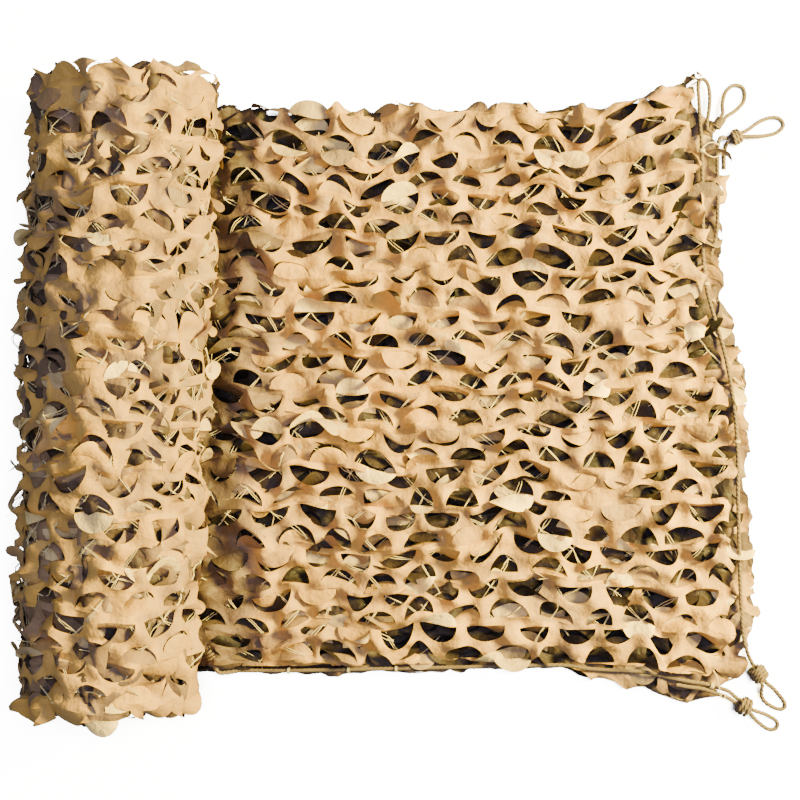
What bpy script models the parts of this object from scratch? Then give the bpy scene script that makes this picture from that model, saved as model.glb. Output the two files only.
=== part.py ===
"""Camouflage netting, partly rolled: the roll, its loose folded end, border ropes and corner loops.

Metres, +Z up. The roll's axis runs along Y and the loose end leaves it towards +X. Both rest on
z = 0, and the origin is under the middle of the netting.
"""

import math

import bmesh
import bpy
from mathutils import Vector, noise

COLLECTION = "camouflage_netting"
GAP = 0.0003  # left between pieces that touch
MERGE = 0.00005

# The net's die-cut holes stand in staggered rows. They are cut at twice their real pitch.
HOLE_PITCH_X = 0.132
HOLE_ROW_PITCH = 0.062

# The roll. It is flattened where it rests, and smooth where the loose end meets it.
ROLL_SIDES = 36
ROLL_STEP = 0.042
ROLL_FLAT = 0.0025
ROLL_LUMP = 0.0035
ROLL_LUMP_SIZE = 0.070
ROLL_TWIST = 0.0022
ROLL_TWIST_FOLDS = 3
ROLL_TWIST_TURN = 11.0  # radians of twist for each metre of length
ROLL_SMOOTH = (-14.0, 52.0)  # degrees from straight down, towards +X
ROLL_SMOOTH_BLEND = 24.0
TURN_PITCH = 0.030  # between the wound turns that show at the ends
TURN_RELIEF = 0.0035
TURN_RINGS = 8
END_ROUNDING = ((0.000, 0.011), (0.005, 0.0045), (0.014, 0.000))  # (in from the end, radius lost)
# Columns: y, the axis's x, radius.
ROLL_LINE = (
    (-0.447, -0.4055, 0.1215),
    (-0.362, -0.4045, 0.1235),
    (-0.162, -0.4000, 0.1260),
    (0.038, -0.3940, 0.1270),
    (0.238, -0.3860, 0.1275),
    (0.440, -0.3780, 0.1280),
)

# The loose end: three layers, one back-and-forth fold across Y.
THICKNESS = 0.002
LAYER_PITCH = 0.013
FOLD_RADIUS = LAYER_PITCH / 2
FOLD_REACH = FOLD_RADIUS + THICKNESS / 2  # from a fold's outside to where its layers lie flat
FOLD_STEPS = 4
LAYERS = 3
LAYER_WIDTH = 0.826
TOP_SETBACK = 0.035  # how far the top layer stops short of the end, to leave the rope bare
END_RAGGED = 0.004
WIDE_HOLE = 62.0  # the top layer's round holes, as a percentage of the cell
NARROW_HOLE = 74.0  # the lower layers' diamond holes
ROUND_PROFILE = 0.1
# The outline. Columns: y, x.
END_EDGE = (
    (-0.454, 0.466),
    (-0.395, 0.513),
    (-0.307, 0.530),
    (-0.159, 0.524),
    (-0.012, 0.518),
    (0.106, 0.496),
    (0.135, 0.481),
    (0.356, 0.480),
    (0.393, 0.468),
    (0.418, 0.441),
    (0.462, 0.438),
)
# Columns: x, y of the long edge at the upper side, of the fold at the lower side, and of the top
# layer's free edge beside that fold.
LONG_EDGES = (
    (-0.370, 0.418, -0.4185, -0.4035),
    (-0.141, 0.418, -0.4185, -0.4030),
    (0.242, 0.420, -0.4110, -0.3960),
    (0.286, 0.421, -0.4230, -0.3990),
    (0.360, 0.436, -0.4375, -0.4040),
    (0.418, 0.459, -0.4625, -0.4130),
    (0.477, 0.464, -0.4510, -0.4230),
)
# The top layer's swells. Columns: x, y, reach along x, reach along y, height.
SWELLS = (
    (0.400, 0.430, 0.110, 0.070, 0.012),
    (0.410, -0.390, 0.070, 0.050, 0.007),
    (-0.235, 0.060, 0.050, 0.200, 0.007),
    (0.050, 0.120, 0.160, 0.100, 0.005),
    (0.240, -0.200, 0.120, 0.110, 0.006),
)

# The ropes.
ROPE_RADIUS = 0.003
ROPE_STEP = 0.013
LOOP_STEP = 0.009
ROPE_SIDES_RESOLUTION = 2
ROPE_Z = 0.0203  # the border rope's middle, on its lashings on the middle layer
STRAND = 0.0035  # from a knot's axis to each of two strands that leave it side by side
LEAD = 0.006  # how far a rope runs straight out of its knot

# Knots and bindings, turned on the line of what leaves them. Columns: x, y, z of the middle, the
# direction in degrees, length, radius at the middle, turns of rope.
KNOTS = {
    "loop_whipping_1": (0.4745, 0.3945, 0.0232, 54.0, 0.018, 0.0078, 4),
    "loop_knot_2": (0.5024, 0.376, 0.0125, 19.0, 0.016, 0.0122, 2),
    "loop_knot_3": (0.535, -0.416, 0.0143, -60.0, 0.024, 0.0140, 3),
    "loop_knot_4": (0.5134, -0.464, 0.0153, -36.0, 0.020, 0.0150, 2),
    "side_rope_wrap": (-0.2705, -0.388, 0.0358, -68.0, 0.021, 0.0072, 3),
}
KNOT_CAP = 0.0072
KNOT_SIDES = 12

# Each loop leaves its knot at one side and comes back to the other. Columns: along the knot's
# axis from its cap, to the left of that axis, and the height.
LOOPS = {
    "corner_loop_1": (
        "loop_whipping_1",
        1,
        (
            (0.0197, 0.0125, 0.0180),
            (0.0373, 0.0179, 0.0105),
            (0.0516, 0.0156, 0.0055),
            (0.0580, 0.0094, 0.0038),
            (0.0598, 0.0006, 0.0034),
            (0.0530, -0.0077, 0.0045),
            (0.0424, -0.0120, 0.0085),
            (0.0303, -0.0112, 0.0140),
            (0.0190, -0.0085, 0.0188),
        ),
    ),
    "corner_loop_2": (
        "loop_knot_2",
        1,
        (
            (0.0180, 0.0062, 0.0112),
            (0.0320, 0.0106, 0.0075),
            (0.0480, 0.0118, 0.0045),
            (0.0604, 0.0086, 0.0034),
            (0.0663, 0.0019, 0.0034),
            (0.0665, -0.0055, 0.0034),
            (0.0606, -0.0104, 0.0034),
            (0.0503, -0.0129, 0.0036),
            (0.0347, -0.0112, 0.0055),
            (0.0183, -0.0074, 0.0106),
        ),
    ),
    "corner_loop_3": (
        "loop_knot_3",
        -1,
        (
            (0.0140, -0.0090, 0.0112),
            (0.0246, -0.0120, 0.0066),
            (0.0355, -0.0100, 0.0038),
            (0.0471, -0.0035, 0.0034),
            (0.0543, 0.0042, 0.0034),
            (0.0533, 0.0112, 0.0034),
            (0.0448, 0.0134, 0.0036),
            (0.0310, 0.0115, 0.0058),
            (0.0170, 0.0080, 0.0108),
        ),
    ),
    "corner_loop_4": (
        "loop_knot_4",
        -1,
        (
            (0.0190, -0.0064, 0.0105),
            (0.0340, -0.0074, 0.0052),
            (0.0455, -0.0060, 0.0034),
            (0.0515, 0.0005, 0.0034),
            (0.0502, 0.0075, 0.0034),
            (0.0432, 0.0104, 0.0034),
            (0.0290, 0.0092, 0.0062),
            (0.0165, 0.0065, 0.0120),
        ),
    ),
}

# The other ropes: the knot that each starts from, its route, and the knot that it ends in. A tie
# is the knot's name, the end of it (1 is the end that it faces) and how far to its left.
# Columns of a route: x, y, z.
ROPES = {
    "end_rope": (
        ("loop_knot_3", -1, 0.0),
        (
            (0.5212, -0.3915, 0.0162),
            (0.5160, -0.3785, 0.0206),
            (0.5130, -0.3660, ROPE_Z),
            (0.5097, -0.3360, ROPE_Z),
            (0.5068, -0.2770, ROPE_Z),
            (0.5053, -0.2180, ROPE_Z),
            (0.5038, -0.1590, ROPE_Z),
            (0.5038, -0.1150, ROPE_Z),
            (0.5024, -0.0710, ROPE_Z),
            (0.4994, -0.0340, ROPE_Z),
            (0.4935, 0.0100, ROPE_Z),
            (0.4830, 0.0616, ROPE_Z),
            (0.4700, 0.1060, ROPE_Z),
            (0.4596, 0.1427, ROPE_Z),
            (0.4540, 0.1795, ROPE_Z),
            (0.4520, 0.2160, ROPE_Z),
            (0.4520, 0.2826, ROPE_Z),
            (0.4512, 0.3195, ROPE_Z),
            (0.4505, 0.3577, ROPE_Z),
            (0.4480, 0.3975, ROPE_Z),
            (0.4462, 0.4300, ROPE_Z),
            (0.4450, 0.4460, 0.0205),
            (0.4465, 0.4570, 0.0208),
            (0.4530, 0.4595, 0.0212),
            (0.4590, 0.4520, 0.0216),
            (0.4616, 0.4380, 0.0220),
            (0.4612, 0.4210, 0.0226),
            (0.4592, 0.4060, 0.0231),
            (0.4574, 0.3940, 0.0233),
            (0.4592, 0.3838, 0.0232),
        ),
        ("loop_whipping_1", -1, 0.0),
    ),
    "end_rope_lower": (
        ("loop_knot_2", -1, STRAND),
        (
            (0.4836, 0.3748, 0.0184),
            (0.4778, 0.3738, 0.0214),
            (0.4750, 0.3660, ROPE_Z),
            (0.4738, 0.3560, ROPE_Z),
            (0.4736, 0.3341, ROPE_Z),
            (0.4742, 0.2830, ROPE_Z),
            (0.4735, 0.2450, ROPE_Z),
            (0.4700, 0.2220, ROPE_Z),
            (0.4635, 0.2020, ROPE_Z),
        ),
        None,
    ),
    "side_rope": (
        ("side_rope_wrap", 1, 0.0),
        (
            (-0.2590, -0.4120, 0.0325),
            (-0.2480, -0.4130, 0.0262),
            (-0.2360, -0.4118, 0.0218),
            (-0.2240, -0.4110, ROPE_Z),
            (-0.1410, -0.4110, ROPE_Z),
            (0.0060, -0.4080, ROPE_Z),
            (0.1240, -0.4055, ROPE_Z),
            (0.2417, -0.4030, ROPE_Z),
            (0.2858, -0.4085, ROPE_Z),
            (0.3595, -0.4126, ROPE_Z),
            (0.3889, -0.4185, ROPE_Z),
            (0.4331, -0.4273, ROPE_Z),
            (0.4538, -0.4303, ROPE_Z),
            (0.4744, -0.4360, ROPE_Z),
            (0.4900, -0.4412, 0.0206),
        ),
        ("loop_knot_4", -1, STRAND),
    ),
    "side_rope_return": (
        ("loop_knot_4", -1, -STRAND),
        (
            (0.4860, -0.4495, 0.0206),
            (0.4700, -0.4440, ROPE_Z),
            (0.4520, -0.4380, ROPE_Z),
            (0.4300, -0.4350, ROPE_Z),
            (0.4130, -0.4318, ROPE_Z),
        ),
        None,
    ),
    "side_rope_turn": (
        ("side_rope_wrap", -1, 0.0),
        (
            (-0.2810, -0.3650, 0.0345),
            (-0.2885, -0.3600, 0.0325),
            (-0.3000, -0.3590, 0.0318),
            (-0.3154, -0.3600, 0.0318),
        ),
        None,
    ),
    "rope_tail": (
        ("loop_knot_2", -1, -STRAND),
        (
            (0.4885, 0.3620, 0.0070),
            (0.4868, 0.3500, 0.0040),
            (0.4868, 0.3300, 0.0034),
        ),
        None,
    ),
}

# Lashings round the border ropes. Columns: rope, x or y of the middle, the axis that it runs along.
LASHINGS = (
    ("end_rope", 0.356, "Y"),
    ("end_rope", 0.160, "Y"),
    ("end_rope", -0.072, "Y"),
    ("side_rope", -0.157, "X"),
    ("side_rope", -0.069, "X"),
    ("side_rope", 0.002, "X"),
    ("side_rope", 0.466, "X"),
)
LASHING_CORD = 0.0008
LASHING_SIDES = (12, 4)

# Colours and roughness.
CLOTH_TAN = (0.700, 0.480, 0.245, 1.0)
ROPE_KHAKI = (0.390, 0.310, 0.190, 1.0)
CORD_CREAM = (0.830, 0.760, 0.600, 1.0)
CLOTH_ROUGHNESS = 0.85
ROPE_ROUGHNESS = 0.80


def clear_scene():
    for existing in list(bpy.data.objects):
        bpy.data.objects.remove(existing, do_unlink=True)


def new_collection(name):
    made = bpy.data.collections.new(name)
    bpy.context.scene.collection.children.link(made)
    return made


def new_material(name, colour, roughness):
    made = bpy.data.materials.new(name)
    made.use_nodes = True
    shader = made.node_tree.nodes["Principled BSDF"]
    shader.inputs["Base Color"].default_value = colour
    shader.inputs["Roughness"].default_value = roughness
    shader.inputs["Metallic"].default_value = 0.0
    return made


def new_object(name, data, collection, material):
    made = bpy.data.objects.new(name, data)
    data.materials.append(material)
    collection.objects.link(made)
    return made


def mesh_object(name, bm, collection, material):
    mesh = bpy.data.meshes.new(name)
    bm.to_mesh(mesh)
    bm.free()
    return new_object(name, mesh, collection, material)


def between(table, at, column):
    """A column's value at a place along a table's first column, eased from row to row."""
    if at <= table[0][0]:
        return table[0][column]
    for low, high in zip(table, table[1:]):
        if at <= high[0]:
            share = (at - low[0]) / (high[0] - low[0])
            share = share * share * (3.0 - 2.0 * share)
            return low[column] + (high[column] - low[column]) * share
    return table[-1][column]


def direction(degrees):
    angle = math.radians(degrees)
    return Vector((math.cos(angle), math.sin(angle), 0.0))


def left_of(along):
    return Vector((-along.y, along.x, 0.0))


# The roll


def roll_at(y):
    """The roll's middle in x, its radius and the height of its axis at a place along it."""
    radius = between(ROLL_LINE, y, 2)
    return between(ROLL_LINE, y, 1), radius, radius - ROLL_FLAT


def roll_unevenness(angle, y):
    """How far the wound cloth swells at an angle, in radians from straight down towards +X."""
    degrees = math.degrees(angle)
    degrees -= 360.0 * round(degrees / 360.0)
    outside = max(ROLL_SMOOTH[0] - degrees, degrees - ROLL_SMOOTH[1], 0.0)
    weight = min(1.0, outside / ROLL_SMOOTH_BLEND)
    place = Vector((math.cos(angle), math.sin(angle), 0.0)) * ROLL_LINE[0][2]
    place.z = y
    lump = ROLL_LUMP * noise.noise(place / ROLL_LUMP_SIZE)
    twist = ROLL_TWIST * math.cos(ROLL_TWIST_FOLDS * angle + ROLL_TWIST_TURN * y)
    return weight * (lump + twist)


def roll_stations():
    """Places along the roll, with the radius that its rounded ends lose there."""
    low, high = ROLL_LINE[0][0], ROLL_LINE[-1][0]
    inner_low = low + END_ROUNDING[-1][0]
    inner_high = high - END_ROUNDING[-1][0]
    count = round((inner_high - inner_low) / ROLL_STEP)
    stations = [(low + inset, lost) for inset, lost in END_ROUNDING[:-1]]
    for i in range(count + 1):
        stations.append((inner_low + (inner_high - inner_low) * i / count, 0.0))
    stations += [(high - inset, lost) for inset, lost in reversed(END_ROUNDING[:-1])]
    return stations


def make_roll(collection, material):
    """A cylinder along Y, cut into stations, with each ring of points set to the wound form."""
    stations = roll_stations()
    bm = bmesh.new()
    bmesh.ops.create_cone(
        bm,
        cap_ends=True,
        segments=ROLL_SIDES,
        radius1=1.0,
        radius2=1.0,
        depth=len(stations) - 1,
    )
    half = (len(stations) - 1) / 2.0
    for k in range(1, len(stations) - 1):
        bmesh.ops.bisect_plane(
            bm,
            geom=bm.verts[:] + bm.edges[:] + bm.faces[:],
            plane_co=(0.0, 0.0, k - half),
            plane_no=(0.0, 0.0, 1.0),
        )
    ring_of = {v: round(v.co.z + half) for v in bm.verts}
    for end in (0, len(stations) - 1):
        cap = max(
            (f for f in bm.faces if all(ring_of.get(v) == end for v in f.verts)),
            key=lambda f: len(f.verts),
        )
        inner = [cap]
        for ring in range(TURN_RINGS):
            share = 1.0 - (ring + 1) / (TURN_RINGS + 0.6)
            result = bmesh.ops.extrude_discrete_faces(bm, faces=inner)
            inner = result["faces"]
            for v in inner[0].verts:
                size = math.hypot(v.co.x, v.co.y)
                v.co.x *= share / size
                v.co.y *= share / size
                ring_of[v] = end
    bmesh.ops.remove_doubles(bm, verts=bm.verts[:], dist=1e-6)
    for v in bm.verts:
        station = round(v.co.z + half)
        y, lost = stations[station]
        middle, radius, axis_height = roll_at(y)
        # The primitive's x and y become the roll's section, measured from straight down.
        angle = math.atan2(v.co.x, -v.co.y)
        share = math.hypot(v.co.x, v.co.y)
        reach = (radius - lost + roll_unevenness(angle, y)) * share
        end = 0.0
        if share < 0.99:
            turn = 2.0 * math.pi * reach / TURN_PITCH - angle
            fade = min(1.0, (1.0 - share) * 4.0) * min(1.0, share * 3.0)
            end = TURN_RELIEF * fade * math.cos(turn) * (1.0 if station else -1.0)
        height = axis_height - reach * math.cos(angle)
        v.co = (middle + reach * math.sin(angle), y + end, max(0.0, height))
    bmesh.ops.reverse_faces(bm, faces=bm.faces[:])
    made = mesh_object("net_roll", bm, collection, material)
    made.data.shade_smooth()
    made.data.set_sharp_from_angle(angle=math.radians(40.0))
    return made


# The loose end


def section_at(run):
    """(share of the width, level, outward bulge) at a run of cloth from the hidden free edge.

    The level is 0, 1 or 2 on a layer and in between on a fold.
    """
    fold_run = math.pi * FOLD_RADIUS
    for layer in range(LAYERS):
        up = layer % 2 == 1
        if run <= LAYER_WIDTH + 1e-9 or layer == LAYERS - 1:
            share = min(1.0, max(0.0, run / LAYER_WIDTH))
            return (share if up else 1.0 - share), float(layer), 0.0
        run -= LAYER_WIDTH
        if run < fold_run:
            phase = math.pi * run / fold_run
            side = 1.0 if up else -1.0
            level = layer + (1.0 - math.cos(phase)) / 2.0
            return (1.0 if up else 0.0), level, side * FOLD_RADIUS * math.sin(phase)
        run -= fold_run
    return 0.0, float(LAYERS - 1), 0.0


def swell(x, y):
    total = 0.0
    for middle_x, middle_y, reach_x, reach_y, height in SWELLS:
        away = ((x - middle_x) / reach_x) ** 2 + ((y - middle_y) / reach_y) ** 2
        total += height * math.exp(-away)
    return total


def beside_roll(y, z):
    """Where a layer that lies at height z meets the roll's flank."""
    middle, radius, axis_height = roll_at(y)
    below = axis_height - min(z + THICKNESS / 2 + GAP, axis_height)
    return middle + math.sqrt(radius * radius - below * below) + GAP


def lay(along, run):
    """The place of a point of the flat cloth: along is 0 at the roll and 1 at the end."""
    share, level, bulge = section_at(run)
    nominal_y = LONG_EDGES[0][2] + (LONG_EDGES[0][1] - LONG_EDGES[0][2]) * share
    upper = max(0.0, level - 1.0)
    right = between(END_EDGE, nominal_y, 1) - TOP_SETBACK * upper
    right += END_RAGGED * noise.noise(Vector((nominal_y * 22.0, level * 3.1, 0.5)))
    z = THICKNESS / 2 + level * LAYER_PITCH
    x = -0.3 + (right + 0.3) * along
    low = between(LONG_EDGES, x, 2) + FOLD_REACH
    high = between(LONG_EDGES, x, 1) - FOLD_REACH
    if level > LAYERS - 1.5 and share < 1.0:
        low = between(LONG_EDGES, x, 3)
    y = low + (high - low) * share + bulge
    z += swell(x, y) * upper
    left = beside_roll(y, z)
    return Vector((left + (right - left) * along, y, z))


def make_sheet(collection, material):
    """A grid with holes at every other crossing, folded in three and given its thickness."""
    fold_run = math.pi * FOLD_RADIUS
    rows_in_layer = round(LAYER_WIDTH / HOLE_ROW_PITCH)
    columns = round((END_EDGE[5][1] + 0.33) / (HOLE_PITCH_X / 2))
    rows = []
    for layer in range(LAYERS):
        start = layer * (LAYER_WIDTH + fold_run)
        for i in range(rows_in_layer + 1):
            holed = 0 < i < rows_in_layer
            rows.append((start + LAYER_WIDTH * i / rows_in_layer, layer, holed))
        if layer < LAYERS - 1:
            for i in range(1, FOLD_STEPS):
                rows.append((start + LAYER_WIDTH + fold_run * i / FOLD_STEPS, layer, False))
    bm = bmesh.new()
    bmesh.ops.create_grid(bm, x_segments=columns, y_segments=len(rows) - 1, size=0.5)
    round_holes, diamond_holes = [], []
    for v in bm.verts:
        column = round((v.co.x + 0.5) * columns)
        row = round((v.co.y + 0.5) * (len(rows) - 1))
        run, layer, holed = rows[row]
        v.co = (column / columns, run, 0.0)
        if holed and 0 < column < columns and (column + row) % 2 == layer % 2:
            (round_holes if layer == LAYERS - 1 else diamond_holes).append(v)
    for centres, width, segments in ((round_holes, WIDE_HOLE, 2), (diamond_holes, NARROW_HOLE, 1)):
        cut = bmesh.ops.bevel(
            bm,
            geom=centres,
            offset=width,
            offset_type="PERCENT",
            segments=segments,
            profile=ROUND_PROFILE,
            affect="VERTICES",
        )
        bmesh.ops.delete(bm, geom=cut["faces"], context="FACES")
    bmesh.ops.triangulate(bm, faces=bm.faces[:])
    for v in bm.verts:
        v.co = lay(v.co.x, v.co.y)
    made = mesh_object("net_sheet", bm, collection, material)
    solid = made.modifiers.new("thickness", "SOLIDIFY")
    solid.thickness = THICKNESS
    solid.offset = 0.0
    solid.use_even_offset = True
    return made


# Ropes, knots and lashings


def smooth_route(points, step):
    """Points about a step apart on a smooth curve through the route's own points."""
    route = [Vector(p) for p in points]
    ends = [route[0] * 2 - route[1]] + route + [route[-1] * 2 - route[-2]]
    fine = []
    for a, b, c, d in zip(ends, ends[1:], ends[2:], ends[3:]):
        for i in range(16):
            t = i / 16.0
            fine.append(
                (
                    b * 2
                    + (c - a) * t
                    + (a * 2 - b * 5 + c * 4 - d) * t * t
                    + (b * 3 - a - c * 3 + d) * t * t * t
                )
                / 2
            )
    fine.append(route[-1])
    spans = [(q - p).length for p, q in zip(fine, fine[1:])]
    count = max(2, round(sum(spans) / step))
    spaced, gone, k = [fine[0]], 0.0, 0
    for i in range(1, count):
        target = sum(spans) * i / count
        while gone + spans[k] < target:
            gone += spans[k]
            k += 1
        spaced.append(fine[k].lerp(fine[k + 1], (target - gone) / spans[k]))
    return spaced + [fine[-1]]


def make_rope(name, places, collection, material):
    curve = bpy.data.curves.new(name, "CURVE")
    curve.dimensions = "3D"
    curve.bevel_depth = ROPE_RADIUS
    curve.bevel_resolution = ROPE_SIDES_RESOLUTION
    curve.use_fill_caps = True
    spline = curve.splines.new("POLY")
    spline.points.add(len(places) - 1)
    for point, place in zip(spline.points, places):
        point.co = (*place, 1.0)
    return new_object(name, curve, collection, material)


def knot_end(knot, end, sideways):
    """The middle of what leaves a knot's cap, and the direction in which it leaves."""
    x, y, z, degrees, length, _, _ = KNOTS[knot]
    along = direction(degrees)
    place = Vector((x, y, z)) + along * (end * length / 2) + left_of(along) * sideways
    return place, along * end


def tie(start, route, end, step):
    """A rope's points: the smooth route, with a straight lead out of the knot at a tied end."""
    leads = []
    for knot in (start, end):
        if knot:
            place, away = knot_end(*knot)
            leads.append([place + away * GAP, place + away * (GAP + LEAD)])
        else:
            leads.append([])
    inner = leads[0][1:] + [Vector(row) for row in route] + leads[1][1:]
    return leads[0][:1] + smooth_route(inner, step) + leads[1][:1]


def rope_places(name):
    return tie(*ROPES[name], ROPE_STEP)


def loop_places(name):
    knot, first, rows = LOOPS[name]
    cap, along = knot_end(knot, 1, 0.0)
    side = left_of(along)
    route = []
    for forward, leftward, height in rows:
        place = cap + along * forward + side * leftward
        place.z = height
        route.append(place)
    return tie((knot, 1, first * STRAND), route, (knot, 1, -first * STRAND), LOOP_STEP)


def make_knot(name, collection, material):
    """A turned barrel, with a ridge for each turn of the rope that it is wound from."""
    x, y, z, degrees, length, radius, turns = KNOTS[name]
    steps = turns * 4
    profile = [(0.0, length / 2)]
    for i in range(steps + 1):
        share = i / steps
        crown = math.sin(math.pi * share) ** 0.6
        ridge = 0.82 + 0.18 * abs(math.sin(math.pi * turns * share))
        bulge = (radius - KNOT_CAP) * crown * ridge
        profile.append((KNOT_CAP + bulge, length / 2 - length * share))
    profile.append((0.0, -length / 2))
    bm = bmesh.new()
    line = [bm.verts.new((reach, 0.0, height)) for reach, height in profile]
    for a, b in zip(line, line[1:]):
        bm.edges.new((a, b))
    made = mesh_object(name, bm, collection, material)
    turned = made.modifiers.new("turned", "SCREW")
    turned.steps = KNOT_SIDES
    turned.render_steps = KNOT_SIDES
    turned.use_merge_vertices = True
    turned.merge_threshold = MERGE
    made.location = (x, y, z)
    made.rotation_euler = (0.0, math.radians(90.0), math.radians(degrees))
    return made


def make_lashing(name, rope, at, runs_along, collection, material):
    """A band of cord round a border rope, which holds the rope down on the net."""
    axis = "XY".index(runs_along)
    places = rope_places(rope)
    for a, b in zip(places, places[1:]):
        if min(a[axis], b[axis]) <= at <= max(a[axis], b[axis]):
            share = (at - a[axis]) / (b[axis] - a[axis])
            place, along = a.lerp(b, share), b - a
            break
    bpy.ops.mesh.primitive_torus_add(
        major_segments=LASHING_SIDES[0],
        minor_segments=LASHING_SIDES[1],
        major_radius=ROPE_RADIUS + GAP + LASHING_CORD,
        minor_radius=LASHING_CORD,
        location=place,
        rotation=along.to_track_quat("Z", "Y").to_euler(),
    )
    made = bpy.context.object
    made.name = name
    made.data.name = name
    made.data.materials.append(material)
    for owner in list(made.users_collection):
        owner.objects.unlink(made)
    collection.objects.link(made)
    return made


def main():
    clear_scene()
    netting = new_collection(COLLECTION)
    cloth = new_material("net_cloth", CLOTH_TAN, CLOTH_ROUGHNESS)
    roll_cloth = new_material("net_roll_cloth", CLOTH_TAN, CLOTH_ROUGHNESS)
    rope = new_material("border_rope", ROPE_KHAKI, ROPE_ROUGHNESS)
    cord = new_material("lashing_cord", CORD_CREAM, ROPE_ROUGHNESS)
    make_roll(netting, roll_cloth)
    make_sheet(netting, cloth)
    for name in ROPES:
        make_rope(name, rope_places(name), netting, rope)
    for name in LOOPS:
        make_rope(name, loop_places(name), netting, rope)
    for name in KNOTS:
        make_knot(name, netting, rope)
    for number, (rope_name, at, runs_along) in enumerate(LASHINGS, 1):
        make_lashing(f"rope_lashing_{number}", rope_name, at, runs_along, netting, cord)


main()
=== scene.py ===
"""Sand-coloured die-cut camouflage netting, partly rolled, with its border rope and corner loops.

Metres, +Z up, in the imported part's frame. The roll's axis runs along Y and the loose end leaves it
towards +X. The photograph looks straight down.
"""

import math

import bpy
import numpy as np
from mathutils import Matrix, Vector


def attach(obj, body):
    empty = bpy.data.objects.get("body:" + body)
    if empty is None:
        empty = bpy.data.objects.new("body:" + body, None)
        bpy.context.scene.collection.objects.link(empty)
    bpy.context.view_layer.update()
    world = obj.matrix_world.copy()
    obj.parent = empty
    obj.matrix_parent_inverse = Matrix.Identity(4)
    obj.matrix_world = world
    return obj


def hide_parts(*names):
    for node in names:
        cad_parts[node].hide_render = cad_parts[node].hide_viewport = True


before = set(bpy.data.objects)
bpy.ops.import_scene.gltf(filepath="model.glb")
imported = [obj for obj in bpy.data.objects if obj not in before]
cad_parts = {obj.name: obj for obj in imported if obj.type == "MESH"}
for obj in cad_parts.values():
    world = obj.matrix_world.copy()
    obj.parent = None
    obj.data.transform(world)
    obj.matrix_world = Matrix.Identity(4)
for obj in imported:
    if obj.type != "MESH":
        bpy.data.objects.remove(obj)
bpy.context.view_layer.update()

# The camera, straight above the netting.
CAMERA_AT = (0.006, -0.0125, 2.30)
CAMERA_LENS = 69.66

# The cloth's die-cut pattern: half-round cuts in rows along the first direction of the cloth. Each
# row is set half a pitch aside from the next and faces the other way.
PITCH = 0.0640
ROW = 0.0293
ROLL_ROW = 0.0318
HOLE_HALF_WIDTH = 0.0250
HOLE_HEIGHT = 0.0236
HOLE_SILL = 0.0102  # from a cell's middle to the straight side that the flap hangs from
ARC_STEPS = 14
SILL_STEPS = 10
FLAP_ROWS = 6
FLAP_COLUMNS = 5
FLAP_SIZE = 0.965
FLAP_TIP = 0.015  # its width at the tip, as a share of its width at the hinge
FLAP_INSIDE = 0.002  # how far inside the cloth's edge a flap's hinge has to be
FLAP_RUN = 0.023  # its length on the material's coordinates
FLAP_SHARES = np.sin(np.linspace(0, math.pi / 2, FLAP_ROWS + 1))  # how far out each row is
FLAP_WIDTHS = np.sqrt(np.maximum(1 - FLAP_SHARES**2, 0.0)) * (1 - FLAP_TIP) + FLAP_TIP
FLAP_ACROSS = np.linspace(1, -1, FLAP_COLUMNS + 1)
# Snug flaps: width and height beside their hole's, lap over the sill, depth below the cloth.
SNUG_WIDTH = 1.1
SNUG_HEIGHT = 1.08
SNUG_LAP = 0.0015
SNUG_DEPTH = 0.0004
# How the holes and flaps vary at random: lowest and highest, or middle and spread.
HOLE_SIZES = (0.94, 1.07)
HOLE_TILT = 0.16
HOLE_SHIFT = 0.0012
ARCH_LIFT = (-0.0006, 0.0024)
RIM_BEND = 0.0023
FLAP_CUP = (-0.0015, 0.003)
FLAP_TWIST = 0.46
MOST_TWIST = 0.75
PALE_TONES = (0.4, 1.0)
# The cloth's waves. Columns: height, how far apart the bumps are, and what is added to the seed.
UNEVEN = ((0.0036, 0.12, 3), (0.0044, 0.052, 4), (0.0010, 0.024, 7))
DRIFT_ALONG = ((0.0060, 0.28, 1), (0.0046, 0.105, 5))
DRIFT_ACROSS = ((0.0070, 0.26, 2), (0.0060, 0.115, 6))

# How the flaps lie. Columns: share of the flaps, then the lowest and highest of the angle at the
# hinge and of the bend along the flap, in degrees. Zero closes the hole and -90 hangs straight in.
FLAPS_TOP = (
    (0.05, -18, -3, -55, -12),
    (0.33, -42, -8, -135, -70),
    (0.43, -92, -42, -75, 25),
    (0.07, 12, 52, -125, -30),
    (0.10, 130, 168, -25, 45),
    (0.02, -8, 2, -14, 8),
)
FLAPS_MIDDLE = (
    (0.50, -12, 4, -22, 14),
    (0.50, -36, -8, -60, 10),
)
FLAPS_ROLL = (
    (0.24, -18, -3, -70, -20),
    (0.32, -36, -8, -105, -45),
    (0.16, -75, -38, -60, 20),
    (0.12, 8, 36, -125, -30),
    (0.10, 145, 170, -15, 30),
    (0.06, -8, 2, -14, 8),
)
# On the roll's sides, where they hang askew and stand out.
FLAPS_FLANK = (
    (0.10, -25, -5, -70, -20),
    (0.40, -105, -50, -70, 30),
    (0.34, 15, 90, -110, 10),
    (0.16, 110, 165, -40, 40),
)
# Round the roll's ends, where they close over its turns.
FLAPS_END = (
    (0.72, -14, 5, -40, 10),
    (0.18, -45, -12, -90, -20),
    (0.10, 8, 32, -100, 0),
)
# Along the loose end's edges: on its upper layers, and on a layer that faces down.
FLAPS_EDGE = (
    (0.38, -36, -5, -100, -30),
    (0.12, -95, -45, -60, 20),
    (0.34, 8, 68, -105, 15),
    (0.16, 115, 165, -40, 40),
)
FLAPS_EDGE_TURNED = (
    (0.40, -10, 4, -20, 30),
    (0.35, -70, -12, -10, 100),
    (0.25, -165, -115, -40, 40),
)

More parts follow.
